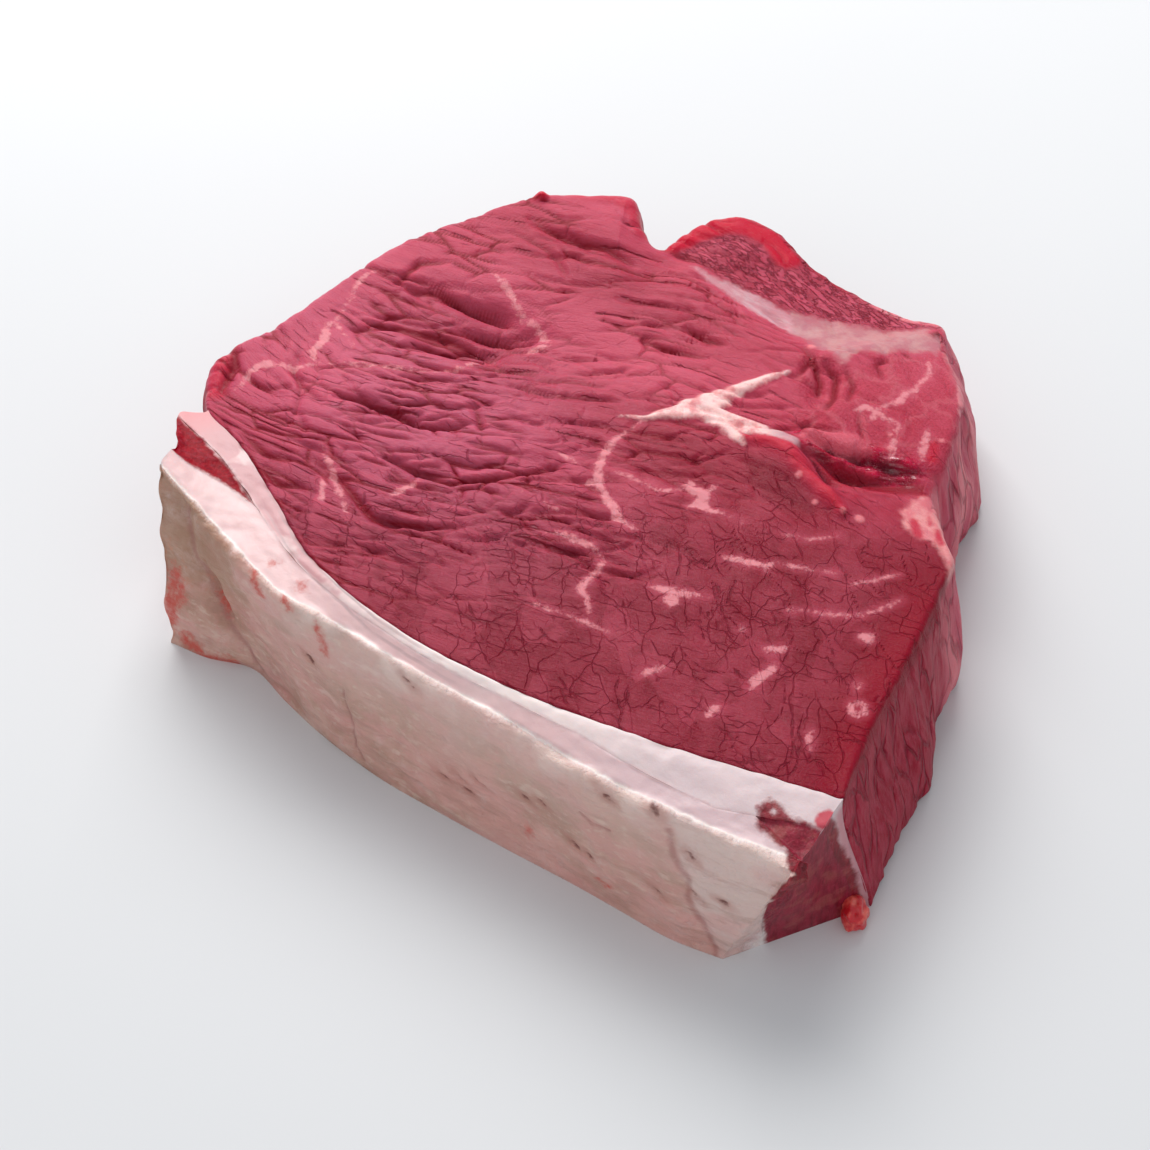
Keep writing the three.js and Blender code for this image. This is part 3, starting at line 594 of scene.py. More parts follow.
def cell_walls(u, v, length, width, seed):
    """Distance in mm to the nearest wall between long cells, whose middles are scattered.

    A wall lies midway between two middles, in coordinates where a cell is one unit each way.
    """
    size = 64
    scatter = np.random.default_rng(seed).uniform(0.05, 0.95, (size, size, 2))
    a, b = u / length, v / width
    ia, ib = np.floor(a).astype(int), np.floor(b).astype(int)

    def middle(da, db):
        """From a point to the middle of the cell that lies so many cells away."""
        shift = scatter[(ia + da) % size, (ib + db) % size]
        return ia + da + shift[..., 0] - a, ib + db + shift[..., 1] - b

    nearest = np.full(np.shape(u), 1e9)
    na, nb = np.zeros(np.shape(u)), np.zeros(np.shape(u))
    around = [(da, db) for da in range(-2, 3) for db in range(-2, 3)]
    for da, db in around:
        pa, pb = middle(da, db)
        distance = pa * pa + pb * pb
        closer = distance < nearest
        nearest = np.where(closer, distance, nearest)
        na, nb = np.where(closer, pa, na), np.where(closer, pb, nb)
    wall = np.full(np.shape(u), 1e9)
    for da, db in around:
        pa, pb = middle(da, db)
        ea, eb = pa - na, pb - nb
        apart = np.hypot(ea, eb)
        other = apart > 1e-6
        apart = np.where(other, apart, 1)
        ea, eb = ea / apart, eb / apart
        distance = ((pa + na) * ea + (pb + nb) * eb) / 2
        distance = distance / np.where(other, np.hypot(ea / length, eb / width), 1)
        wall = np.where(other & (distance < wall), distance, wall)
    return wall


# ---- relief of the cut face ----
def swells(x, y):
    """Broad form of the cut face, as in the solid: bell-shaped swells and furrows."""
    height = np.zeros(np.shape(x))
    for cx, cy, rise, long, wide, degrees in SWELLS:
        turn = math.radians(degrees)
        a = (x - cx) * math.cos(turn) + (y - cy) * math.sin(turn)
        b = (y - cy) * math.cos(turn) - (x - cx) * math.sin(turn)
        height += rise * bell(a, b, 0, 0, long, wide)
    for path, half, depth in FURROWS:
        inside, place = stroke(x, y, path)
        taper = smooth(place, -0.05, 0.35) * (1 - 0.5 * smooth(place, 0.8, 1))
        height -= depth * taper * np.exp(-(inside / half) ** 2)
    return height


def wrinkled(x, y):
    """1 where the face has drawn into wrinkles, falling to 0 towards its smooth corner."""
    return 1 - smooth(x - 0.35 * y, -18, 42)


def zero_lines(noise, u, v, length, width, layer):
    """A smooth noise drawn out along the grain, the distance in mm to the lines where it is 0, and
    a share that is 1 where the noise is steep and the line is clear.

    The distance is the noise divided by its slope, which is found over a short step each way.
    """
    step = 0.25

    def at(du, dv):
        """The noise, a little further along and across the grain."""
        return noise((u + du) / length, (v + dv) / width, layer)

    here = at(0, 0)
    slope = np.hypot(at(step, 0) - here, at(0, step) - here) / step
    steep = smooth(slope * width, 0.2, 0.6)
    return here, np.abs(here) / np.maximum(slope, 0.12 / width), steep


def wander(rng, starts, turns, length, sway, steps=7):
    """Random walks from the starts: each goes off in its direction and sways from step to step."""
    paths = [starts]
    count = len(starts)
    bend = rng.normal(0, sway, count)
    for k in range(steps):
        turn = turns + bend * k + rng.normal(0, sway, count)
        step = np.stack([np.cos(turn), np.sin(turn)], axis=1) * (length / steps)[:, None]
        paths.append(paths[-1] + step)
    return np.stack(paths, axis=1)


def near_path(x, y, path, margin):
    """Which points lie within a margin of the box round a path."""
    low, high = path.min(axis=0) - margin, path.max(axis=0) + margin
    return (x > low[0]) & (x < high[0]) & (y > low[1]) & (y < high[1])


def carve(x, y, height, mark, path, half, depth):
    """Cuts one crease into the height, tapering to its ends, and raises its mark, by which shade is painted
    into the crease.
    """
    path = np.array(path, float)
    near = near_path(x, y, path, 4 * half)
    inside, place = stroke(x[near], y[near], path)
    taper = np.sqrt(np.clip(4 * place * (1 - place), 0, 1))
    cut = taper * np.exp(-(inside / half) ** 2)
    height[near] -= depth * cut
    mark[near] = np.maximum(mark[near], cut * smooth(depth, 0.3, 1.6))


def deepest(x, y, strokes):
    """How far each point lies inside the nearest of several strokes, given as path and half width."""
    return np.max([stroke(x, y, path, half)[0] for path, half in strokes], axis=0)


class CutFace:
    """The cut face at plan points: its height in mm over the flat level, and marks for the colours.

    Most marks are distances in mm inside what they stand for, negative outside it, or shares from
    0 to 1. Each method adds one layer of the face, in the order in which lean_face calls them.
    """

    def __init__(self, x, y):
        self.x, self.y = x, y
        self.u, self.v = grain_at(x, y)
        self.bumps = Noise(FACE_SEED)
        self.height = np.zeros(np.shape(x))
        self.marks = {"grain": np.stack([self.u, self.v, np.zeros_like(x)], axis=-1)}

    def mark_fats(self):
        """The seam, the veins with the rings, the silverskin, the film and the patches of fat."""
        x, y, marks = self.x, self.y, self.marks
        marks["seam"] = deepest(x, y, SEAM_STROKES)
        veins = []
        for path, half in VEINS:
            inside, place = stroke(x, y, path, half, VEIN_BLUNT)
            veins.append(inside - 0.1 - 0.8 * half * (2 * place - 1) ** 4)
        for cx, cy, radius, half in RINGS:
            away = np.hypot(x - cx, y - cy) - radius
            veins.append(half + RING_BLUNT - np.hypot(away, RING_BLUNT))
        marks["vein"] = np.max(veins, axis=0)
        marks["silver"] = stroke(x, y, *SILVERSKIN)[0]
        marks["film"] = inside_outline(x, y, FILM) + 1.4 * self.bumps(x / 3.2, y / 2.2, 60.0)
        marks["pink_fat"] = inside_outline(x, y, PINK_FAT)
        marks["corner_fat"] = inside_outline(x, y, CORNER_FAT)
        marks["corner_red"] = deepest(x, y, CORNER_RED)
        marks["seam_end"] = smooth(x + 0.5 * y, 40, 48)
        self.fatty = np.max([marks[name] for name in ("seam", "pink_fat", "corner_fat", "silver")], axis=0)

    def mark_muscles(self):
        """The muscle behind the silverskin, the small muscle, and where the face wrinkles."""
        x, y = self.x, self.y
        line = np.array(REAR_LINE, float)
        behind = (y > np.interp(x, line[:, 0], line[:, 1])) & (x > REAR_START)
        from_line = -stroke(x, y, line)[0]
        rear = np.where(behind, from_line, -from_line)
        self.marks["rear"] = rear
        self.small = inside_outline(x, y, SMALL_MUSCLE)
        self.rear_rim = stroke(x, y, *REAR_RIM)[0]
        self.fold_rim = stroke(x, y, *FOLD_RIM)[0]
        self.calm = smooth(-self.fatty, -0.6, 1.6) * (1 - smooth(self.rear_rim, -2.5, 0))
        self.rearward = smooth(rear, -0.5, 1.5)
        crumple = wrinkled(x, y) * self.calm * (1 - self.rearward)
        crumple = crumple * (1 - 0.75 * smooth(self.small, 0, 3))
        for *spot, share in SMOOTHER:
            crumple = crumple * (1 - share * bell(x, y, *spot))
        self.crumple = crumple

    def wrinkle(self):
        """Long wrinkles: the walls of drawn-out cells, and the lines of a noise along the grain."""
        u, v, bumps, marks = self.u, self.v, self.bumps, self.marks
        self.sway = bumps(u / 13, v / 8, 1.0)
        wall = cell_walls(u + 1.6 * self.sway, v + 0.9 * bumps(u / 9 + 9, v / 5), 17, 4.0, CELL_SEED)
        band, far, steep = zero_lines(bumps, u, v + 0.7 * self.sway, 24, 2.7, 4.5)
        strong = smooth(bumps(u / 13 + 5, v / 5 + 7), -0.5, 0.35)
        second = smooth(bumps(u / 11 + 15, v / 5 + 3), -0.2, 0.5)
        deep = np.maximum(strong * np.exp(-(wall / 0.55) ** 2),
                          0.8 * second * steep * np.exp(-(far / 0.5) ** 2))
        soft = np.exp(-(np.minimum(wall, far + 0.6) / 1.5) ** 2)
        self.height += self.crumple * (0.16 * band - 0.85 * deep - 0.14 * soft)
        self.crease_shade = self.crumple * deep
        # Paler on the raised bands and away from the cell walls: a painted sheen on the tops of the folds.
        marks["fold"] = self.crumple * (0.6 * band + 0.5 * smooth(wall, 0.4, 1.8) - 0.25)
        marks["line"] = np.clip(far * np.sign(band), -LINE_LIMIT, LINE_LIMIT)
        marks["line_share"] = self.crumple * steep * np.maximum(second, 0.6 * strong)

    def craze(self):
        """Shorter cells with broken walls, on the left of the face."""
        u, v, bumps = self.u, self.v, self.bumps
        crazed = self.calm * (1 - self.rearward) * bell(self.x, self.y, *CRAZED)
        wall = cell_walls(u + 1.6 * self.sway, v + 1.6 * bumps(u / 7, v / 5, 2.0), 10, 4.6, CELL_SEED)
        broken = smooth(bumps(u / 6 + 3, v / 5, 6.0), -0.35, 0.3)
        crack = np.exp(-(wall / 0.5) ** 2) * broken * crazed
        self.height -= 0.6 * crack
        self.crease_shade = np.maximum(self.crease_shade, 0.75 * crack)

    def wrinkle_finely(self):
        """Fine wrinkles along the grain, fainter towards the smooth corner and the far side."""
        x, y, u, v, bumps = self.x, self.y, self.u, self.v, self.bumps
        band, far, steep = zero_lines(bumps, u + self.sway, v, 11, 2.0, 12.5)
        tight = self.calm * (1 - self.rearward) * (0.12 + 0.88 * wrinkled(x, y))
        tight = tight * (1 - 0.6 * smooth(y - 0.3 * x, 20, 80))
        clear = bumps(u / 9 + 20, v / 5)
        thin = steep * np.exp(-(far / 0.4) ** 2) * smooth(clear, -0.2, 0.5)
        self.height += tight * (0.1 * band - 0.3 * thin)
        self.crease_shade = np.maximum(self.crease_shade, 0.4 * tight * thin)
        self.marks["fine_line"] = np.clip(far * np.sign(band), -LINE_LIMIT, LINE_LIMIT)
        self.marks["fine_share"] = tight * steep * smooth(clear, -0.4, 0.3)

    def crinkle_rear(self):
        """Knots on the muscle behind the silverskin, and low waves over the whole face."""
        x, y, bumps = self.x, self.y, self.bumps
        knot, far, _ = zero_lines(bumps, x + 0.8 * bumps(x / 6, y / 6, 30.0), y, 6, 1.9, 20.5)
        crinkle = self.rearward * self.calm
        self.height += crinkle * (0.5 * knot - 0.3 * np.exp(-(far / 0.5) ** 2))
        self.marks["crinkle"] = crinkle
        self.height += 0.35 * bumps(x / 9, y / 9, 5.0) + 0.08 * bumps(x / 2.6, y / 2.6, 9.0) * self.calm

    def carve_creases(self, rng):
        """Random creases along the grain where the face wrinkles, then the long ones."""
        starts = np.stack([rng.uniform(-100, 60, CREASE_COUNT), rng.uniform(-50, 112, CREASE_COUNT)], axis=1)
        lengths = rng.uniform(8, 28, CREASE_COUNT)
        paths = wander(rng, starts, grain_direction(*starts.T), lengths, 0.1)
        chances = rng.uniform(0, 1, CREASE_COUNT)
        halves = rng.uniform(0.45, 0.9, CREASE_COUNT)
        for path, chance, half in zip(paths, chances, halves):
            if wrinkled(*path[0]) > 0.4 and chance < 0.2 + 0.7 * wrinkled(*path[-1]):
                carve(self.x, self.y, self.height, self.crease_shade, path, half, 1.3 * half)
        for path, half, depth in CREASES:
            carve(self.x, self.y, self.height, self.crease_shade, path, half, depth)
        # Share of painted shade in the carved creases, none on the fats.
        self.marks["crease_shade"] = np.clip(self.crease_shade, 0, 1) * smooth(-self.fatty, -0.3, 1.2)

    def split(self, rng):
        """Thin cracks: the stated ones, and random ones in two directions on the smooth part."""
        x, y = self.x, self.y
        starts = np.stack([rng.uniform(-10, 88, SPLIT_COUNT), rng.uniform(-40, 50, SPLIT_COUNT)], axis=1)
        turns = rng.choice(SPLIT_TURNS, SPLIT_COUNT, p=SPLIT_CHANCES) + rng.normal(0, 16, SPLIT_COUNT)
        lengths = rng.uniform(6, 24, SPLIT_COUNT)
        splits = wander(rng, starts, np.radians(turns), lengths, 0.22)
        cracks = np.full(np.shape(x), FAR_OUTSIDE)
        for path in CRACKS + [path for path in splits if wrinkled(*path[0]) < 0.6]:
            path = np.array(path, float)
            near = near_path(x, y, path, 4)
            inside, place = stroke(x[near], y[near], path, 0.0, CRACK_BLUNT)
            cracks[near] = np.maximum(cracks[near], inside - 0.2 * (2 * place - 1) ** 4)
        self.marks["crack"] = cracks * self.calm - 2 * (1 - self.calm)
        self.height -= 0.08 * np.exp(-(cracks / 0.5) ** 2) * self.calm

    def raise_fats(self):
        """The pale seam stands proud, the silverskin lies low, and the film is a low veil."""
        marks = self.marks
        self.height += 0.9 * smooth(marks["seam"], -0.8, 1.2) - 0.4 * smooth(marks["silver"], -1, 2)
        self.height += 0.3 * smooth(marks["film"], -1.5, 1.5)

    def sink_crevice(self):
        """The wet crevice: its near flank, a streaky floor, the strands, and dark lines cut in it."""
        x, y, bumps, marks = self.x, self.y, self.bumps, self.marks
        middle, place = stroke(x, y, CREVICE_LINES[-1][0])
        wet = np.exp(-(middle / CREVICE_WIDTH) ** 2) * (1 - 0.5 * smooth(place, 0.85, 1))
        path, half, rise = FLANK
        flank, place = stroke(x, y, path)
        self.height += rise * np.exp(-(flank / half) ** 2) * smooth(place, -0.25, 0.4)
        streaky = bumps((x * 0.89 + y * 0.45) / 7, (y * 0.89 - x * 0.45) / 1.5, 40.0)
        self.height += wet * (0.6 * bumps(x / 6, y / 3.2, 40.0) + 0.8 * streaky)
        strands = np.full(np.shape(x), FAR_OUTSIDE)
        for path, half, rise in STRANDS:
            inside = stroke(x, y, path, half)[0]
            self.height += rise * smooth(inside, -0.9, 0.9)
            strands = np.maximum(strands, inside)
        marks["strand"] = strands
        # The crevice mark, raised along the lines cut below, paints shadow into them.
        marks["crevice"] = np.zeros(np.shape(x))
        for path, half, depth in CREVICE_LINES:
            carve(x, y, self.height, marks["crevice"], path, half, depth)
        marks["wet"] = wet * smooth(-marks["film"], -0.5, 1)

    def raise_edges(self):
        """The lip with its beads of fat, the upright nub, and the thick bright rims."""
        x, y, marks = self.x, self.y, self.marks
        ridge = stroke(x, y, *LIP)[0]
        beads = np.max([radius - np.hypot(x - cx, y - cy) for cx, cy, radius in BEADS], axis=0)
        nub = RIM_NUB[2] - np.hypot(x - RIM_NUB[0], y - RIM_NUB[1])
        self.height += 1.6 * smooth(ridge + 0.5 * self.bumps(x / 3, y / 3, 50.0), -1.8, 1.4)
        self.height += 0.35 * smooth(beads, -0.6, 0.4) + 4.2 * smooth(nub, -0.8, 1.2)
        self.height += 1.2 * smooth(self.rear_rim, -2, 2) + 1.0 * smooth(self.fold_rim, -2, 1.5)
        marks["bead"] = beads
        marks["lip"] = smooth(ridge, -1.6, 1.0)
        marks["bright"] = np.max([
            smooth(self.rear_rim, -1.5, 0.3),
            0.5 * smooth(self.fold_rim, -2, 1),
            0.2 * smooth(stroke(x, y, *RIGHT_RIM)[0], -6, 2),
            0.1 * smooth(self.small, 0, 4),
            0.6 * smooth(stroke(x, y, *LEFT_TIP)[0], -1.5, 1),
            smooth(nub, -1, 0.5),
            0.8 * smooth(stroke(x, y, *RED_BLOB)[0], -1, 1),
        ], axis=0)

    def mark_tones(self):
        """Broad shares of tone and painted light: paler to the far left, deeper at the right margin, and
        patches.
        """
        x, y, marks = self.x, self.y, self.marks
        marks["margin"] = smooth(stroke(x, y, RIGHT_MARGIN)[0], -20, -5)
        marks["small"] = smooth(self.small, -1, 3)
        marks["deeper"] = sum(share * bell(x, y, *spot) for *spot, share in DEEPER)
        marks["paler"] = sum(share * bell(x, y, *spot) for *spot, share in PALER)
        # Painted shadow below the lip, and painted shade in the far corner.
        below_lip = smooth(inside_outline(x, y, LIP_SHADE), -2.5, 1.5)
        marks["shade"] = np.maximum(0.6 * below_lip, smooth(inside_outline(x, y, DARK_CORNER), -1, 1))
        # Paler towards the far left and back: partly the meat's tone, partly a painted light gradient.
        marks["blush"] = smooth(y - 0.62 * x, -45, 95)
        # Painted sheen, greyish mauve, on the left of the face.
        marks["painted_sheen"] = bell(x, y, *PAINTED_SHEEN_SPOT) * (1 - smooth(marks["rear"], -1, 1))


def lean_face(x, y):
    """Height of the cut face over its flat level, and the marks that its colours follow."""
    face = CutFace(x, y)
    face.mark_fats()
    face.mark_muscles()
    face.wrinkle()
    face.craze()
    face.wrinkle_finely()
    face.crinkle_rear()
    rng = np.random.default_rng(CREASE_SEED)
    face.carve_creases(rng)
    face.split(rng)
    face.raise_fats()
    face.sink_crevice()
    face.raise_edges()
    face.mark_tones()
    return face.height, face.marks


# ---- meshes ----
def vertex_normals(points, quads):
    """Unit normals at the points: the sum of the neighbouring faces' area vectors."""
    a, b, c, d = (points[quads[:, k]] for k in range(4))
    area = np.cross(c - a, d - b)
    normals = np.zeros_like(points)
    for k in range(4):
        np.add.at(normals, quads[:, k], area)
    return normals / np.maximum(np.linalg.norm(normals, axis=1, keepdims=True), 1e-12)


SHARP_DEGREES = 50


def make_piece(name, points, faces, marks, material, sharp_degrees=SHARP_DEGREES):
    """A mesh object from plan points in mm and lists of faces, with a number per point per mark."""
    mesh = bpy.data.meshes.new(name)
    mesh.from_pydata(((points - PLAN_CENTRE) * MM).tolist(), [], faces)
    for mark, values in marks.items():
        if np.ndim(values) == 2:
            attribute = mesh.attributes.new(mark, "FLOAT_VECTOR", "POINT")
            attribute.data.foreach_set("vector", np.asarray(values, np.float32).ravel())
        else:
            attribute = mesh.attributes.new(mark, "FLOAT", "POINT")
            attribute.data.foreach_set("value", np.asarray(values, np.float32).ravel())
    mesh.polygons.foreach_set("use_smooth", [True] * len(mesh.polygons))
    mesh.set_sharp_from_angle(angle=math.radians(sharp_degrees))
    mesh.materials.append(material)
    piece = bpy.data.objects.new(name, mesh)
    bpy.context.scene.collection.objects.link(piece)
    return piece


def join_rows(rows):
    """Quads between closed rows of point numbers, the first row highest."""
    upper, lower = rows[:-1], rows[1:]
    right = np.roll(upper, -1, axis=1), np.roll(lower, -1, axis=1)
    return np.stack([upper, lower, right[1], right[0]], axis=-1).reshape(-1, 4)


# The face's grid spreads from this point: no stretch of the outline lies in line with it, so the
# grid's rays stay apart.
TOP_CENTRE = (-12, 14)
TOP_CELLS = 248
FLAT_REACH = 0.62
RIM_TURNS = np.radians([14, 30, 48, 68, 90])
WALL_DEPTHS = np.linspace(0, 1, 19)[1:-1]
FOOT_TURNS = np.radians([0, 30, 60, 90])
FOOT_REACHES = [0.985, 0.92, 0.6]
WALL_SEED = 32
LEAN_SHARP_DEGREES = 80


def rim_at(fraction):
    """The outline's x, y, rim height and foot offset, its outward direction, how free it is, and
    the radius of its rim."""
    x, y, z, fx, fy = outline_at(fraction)
    ox, oy = outward_at(fraction)
    free = free_edge(fraction)
    crisp = smooth(x, 50, 70) * (1 - smooth(y, 40, 55))
    radius = mix(RIM_RADIUS, CRISP_RADIUS, crisp)
    return x, y, z, fx, fy, ox, oy, free, mix(SEAM_RADIUS, radius, free)


def cut_face_grid():
    """Points and marks of the cut face: a square grid whose rings are the outline, shrunk.

    A ring's share of the outline's size runs from 0 in the middle to 1 at the rim. The height
    goes from the flat level to the rim's height, with the broad form and the relief on it.
    """
    half = TOP_CELLS // 2
    steps = np.arange(-half, half + 1)
    j, i = (axis.ravel() for axis in np.meshgrid(steps, steps, indexing="ij"))
    ring = np.maximum(abs(i), abs(j))
    side = 8 * np.maximum(ring, 1)
    place = np.select(
        [i == ring, j == ring, i == -ring],
        [(j + ring) / side, (ring - i) / side + 0.25, (ring - j) / side + 0.5],
        (i + ring) / side + 0.75,
    ) + CORNER_SHIFT
    x, y, z, _, _, ox, oy, free, radius = rim_at(place)
    reach = ring / half
    x = mix(TOP_CENTRE[0], x - ox * radius, reach)
    y = mix(TOP_CENTRE[1], y - oy * radius, reach)
    edge = smooth(reach, FLAT_REACH, 1)
    height, marks = lean_face(x, y)
    seam_edge = smooth(reach, 0.985, 1) * (1 - free)
    level = mix(THICKNESS, z, edge) + swells(x, y) * (1 - 0.6 * edge)
    return np.stack([x, y, level + height * (1 - 0.35 * edge) * (1 - seam_edge)], axis=-1), marks


def wall_rows(top_z):
    """Rows of points from the rim down the wall to the foot, for rim points of given heights.

    A row is the outline pushed outwards by the bulge and the relief, and moved by its share of
    the foot's offset. The rim and the foot's edge are quarter rounds.
    """
    around = np.arange(4 * TOP_CELLS) / (4 * TOP_CELLS) + CORNER_SHIFT
    x, y, z, fx, fy, ox, oy, free, radius = rim_at(around)
    arc = np.mod(around, 1.0) * outline_lengths[-1]
    fibre = Noise(WALL_SEED)
    ragged = (1.5 * fibre(arc / 6.5, 0.5) + 0.9 * fibre(arc / 2.4, 3.5)) * free

    def relief(height):
        """Outward relief: lumps, and upright fibres drawn out along the height."""
        lumps = 1.1 * fibre(arc / 14, height / 12, 7.0) + 0.55 * fibre(arc / 5, height / 9, 2.0)
        fibres = 0.3 * fibre(arc / 1.7 + 0.6 * fibre(arc / 9, height / 6), height / 13, 4.0)
        near_foot = 1 - smooth(height, 1, 11)
        near_top = 1 - 0.55 * smooth(height, 34, 40)
        return (lumps + fibres + ragged * near_foot) * free * smooth(height, -4, 3) * near_top

    def row(push, level, spread):
        """The outline pushed outwards, at a height, with a share of the foot's offset."""
        return np.stack([x + ox * push + fx * spread, y + oy * push + fy * spread, level + 0 * x], axis=-1)

    rows = []
    for turn in RIM_TURNS:
        level = top_z - radius * (1 - np.cos(turn))
        rows.append(row(relief(level) * math.sin(turn) - radius * (1 - np.sin(turn)), level, 0))
    for depth in WALL_DEPTHS:
        level = mix(top_z - radius, FOOT_RADIUS, depth)
        bulge = WALL_BULGE * free * math.sin(math.pi * depth)
        rows.append(row(bulge + relief(level), level, foot_spread(1 - level / z)))
    for turn in FOOT_TURNS:
        level = FOOT_RADIUS * (1 - math.sin(turn))
        rows.append(row(relief(level + 0 * x) - FOOT_RADIUS * free * (1 - math.cos(turn)), level, 1))
    return rows


def make_lean(material):
    """The lean: the cut face, the wall below its rim, and a flat foot closed to the middle."""
    top, marks = cut_face_grid()
    number = np.arange(len(top)).reshape(TOP_CELLS + 1, -1)
    corners = number[:-1, :-1], number[:-1, 1:], number[1:, 1:], number[1:, :-1]
    squares = np.stack(corners, axis=-1).reshape(-1, 4)
    border = np.concatenate([number[:-1, -1], number[-1, :0:-1], number[:0:-1, 0], number[0, :-1]])

    rows = wall_rows(top[border, 2])
    centre = np.array([*TOP_CENTRE, 0.0])
    rows += [mix(centre, rows[-1], share) for share in FOOT_REACHES]
    wall = np.vstack([*rows, centre])
    numbers = len(top) + np.arange(len(wall) - 1).reshape(len(rows), -1)
    points = np.vstack([top, wall])
    last = numbers[-1]
    fan = np.stack([last, np.full_like(last, len(points) - 1), np.roll(last, -1)], axis=-1)
    quads = np.vstack([squares, join_rows(np.vstack([border, numbers]))])

    wall_x, wall_y, wall_z = wall.T
    wall_marks = lean_face(wall_x, wall_y)[1]
    marks = {mark: np.concatenate([marks[mark], wall_marks[mark]]) for mark in marks}
    wall_share = mix(0.25, 1, smooth(THICKNESS - 3 - wall_z, -2, 4))
    marks["wall"] = np.concatenate([np.zeros(len(top)), wall_share])
    # The wall by the small muscle: the material paints light on it and lays pale bands on it.
    marks["small_side"] = smooth(points[:, 0] + points[:, 1], 108, 124)
    faces = quads.tolist() + fan.tolist()
    return make_piece("lean_meat", points, faces, marks, material, LEAN_SHARP_DEGREES)


def lattice_shell(places, acrosses, depths):
    """The six faces of a box-shaped lattice, welded: its points' parameters and its quads.

    Places, across shares and depths run in a right-handed order, and the faces point outwards.
    """
    ni, nj, nk = len(places), len(acrosses), len(depths)
    key = np.arange(ni * nj * nk).reshape(ni, nj, nk)

    def grid(sheet, flip):
        """Quads of a sheet of point numbers."""
        corners = sheet[:-1, :-1], sheet[1:, :-1], sheet[1:, 1:], sheet[:-1, 1:]
        quads = np.stack(corners, axis=-1).reshape(-1, 4)
        return quads[:, ::-1] if flip else quads

    quads = np.concatenate([
        grid(key[:, :, 0], True), grid(key[:, :, -1], False),
        grid(key[:, 0, :], False), grid(key[:, -1, :], True),
        grid(key[0], True), grid(key[-1], False),
    ])
    used, quads = np.unique(quads, return_inverse=True)
    i, j, k = np.unravel_index(used, key.shape)
    return np.array(places)[i], np.array(acrosses)[j], np.array(depths)[k], quads.reshape(-1, 4)


def cap_marks(place, distance, depth, points):
    """Marks on the fat edge: how far inside the red muscle a point lies, and where it is on the skin.

    Distances are in mm, and the rest are shares from 0 to 1.
    """
    x, y = points[:, 0], points[:, 1]
    lower = seam_outer(place, depth)
    width = muscle_width(place, depth)
    from_seam = np.where(place > 0.9, distance - 1.3 - 4.5 * np.exp(-9 * depth), distance - lower)
    upper = lower + width + np.where(place >= 1, 5 * np.exp(-5 * depth), 0)
    muscle = np.minimum(from_seam, upper - distance) - 1.2 * (1 - smooth(width / 2.0))
    patch = inside_outline(x, y, DARK_PATCH)
    patch = np.minimum(patch, np.hypot(x - PALE_SPOT[0], y - PALE_SPOT[1]) - PALE_SPOT[2])

    on_cut = (place > 0.5) & (depth < 0.04)
    full = cap_section(place, depth)[4]
    stain, folds, pit = skin_marks(place, depth)
    skin = 1 - smooth(full - distance, 0.3, np.where((place >= 1) & (depth > 0.03), 16, 3.5))
    spots = [radius - np.hypot(x - cx, y - cy) for cx, cy, radius in CUT_SPOTS]
    return {
        "muscle": np.where(on_cut, patch, muscle),
        "red_spot": RED_SPOT_RADIUS - np.linalg.norm(points - RED_SPOT, axis=1),
        "from_lean": distance,
        "seam_line": distance - lower,
        "skin": skin,
        "stain": np.where(skin > 0.5, stain, np.max(spots, axis=0)),
        "fold_line": np.max([inside / half for inside, (_, half, _) in zip(folds, FOLDS)], axis=0),
        "pit": pit,
        "tan": (1 - smooth(place, 0.1, 0.22)) * (1 - smooth(depth, 0.2, 0.75)),
        "pale_end": smooth(place - 0.857 - 0.16 * (depth - 0.17), 0.0, 0.01),
        "high": np.exp(-depth * FAT_DEPTH / 10) * smooth(place, 0.12, 0.35),
        "middle": smooth(place, 0.1, 0.2) * (1 - smooth(place, 0.42, 0.6)),
        "far_right": smooth(place, 0.6, 0.85),
        "tip": (1 - smooth(place, 0.0, 0.05)) * (1 - smooth(distance - lower, -2, 6)),
        "left_seam": (1 - smooth(place, 0.3, 0.5)) * (1 - smooth(distance - lower, -1, 1)),
        "right_strip": smooth(place, 0.985, 0.995) * smooth(depth, 0.03, 0.1) * (1 - smooth(distance, 1, 4)),
    }


def make_layer(name, material, places, acrosses, depths, inner, outer, dip, relief):
    """One layer of the fat edge between an inner and an outer width, with relief on what shows."""
    place, across, depth, quads = lattice_shell(places, acrosses, depths)
    distance = mix(inner(place, depth), outer(place, depth), across)
    points = cap_point(place, distance, depth, dip * np.sin(math.pi * across) ** 0.5)
    normals = vertex_normals(points, quads)
    shows = 1 - smooth(depth, 0.93, 1.0)
    height = relief(points, place, across, depth) * shows
    points = points + normals * height[:, None]
    points[:, 2] = np.maximum(points[:, 2], 0)
    marks = cap_marks(place, distance, depth, points)
    return make_piece(name, points, quads.tolist(), marks, material)


# Size of the fat's outer face, by which places and depths on it are turned into mm.
FAT_LENGTH = 205
FAT_DEPTH = 38
# Blood stains on the outer face: path of place and depth, then half width in mm.
STAINS = [
    ([[0.025, 0.525], [0.013, 0.705], [0.003, 0.85], [0.033, 0.595]], 1.8),
    ([[0.028, 0.935], [0.07, 0.99], [0.11, 0.985]], 1.6),
    ([[0.315, 0.06], [0.32, 0.12], [0.325, 0.195]], 0.8),
    ([[0.202, 0.02], [0.22, 0.09]], 0.8), ([[0.263, 0.0], [0.27, 0.03]], 0.5),
    ([[0.672, 0.705], [0.682, 0.755]], 0.3), ([[0.795, 0.8], [0.812, 0.81]], 0.6),
    ([[0.103, 0.5], [0.114, 0.58]], 0.8),
]
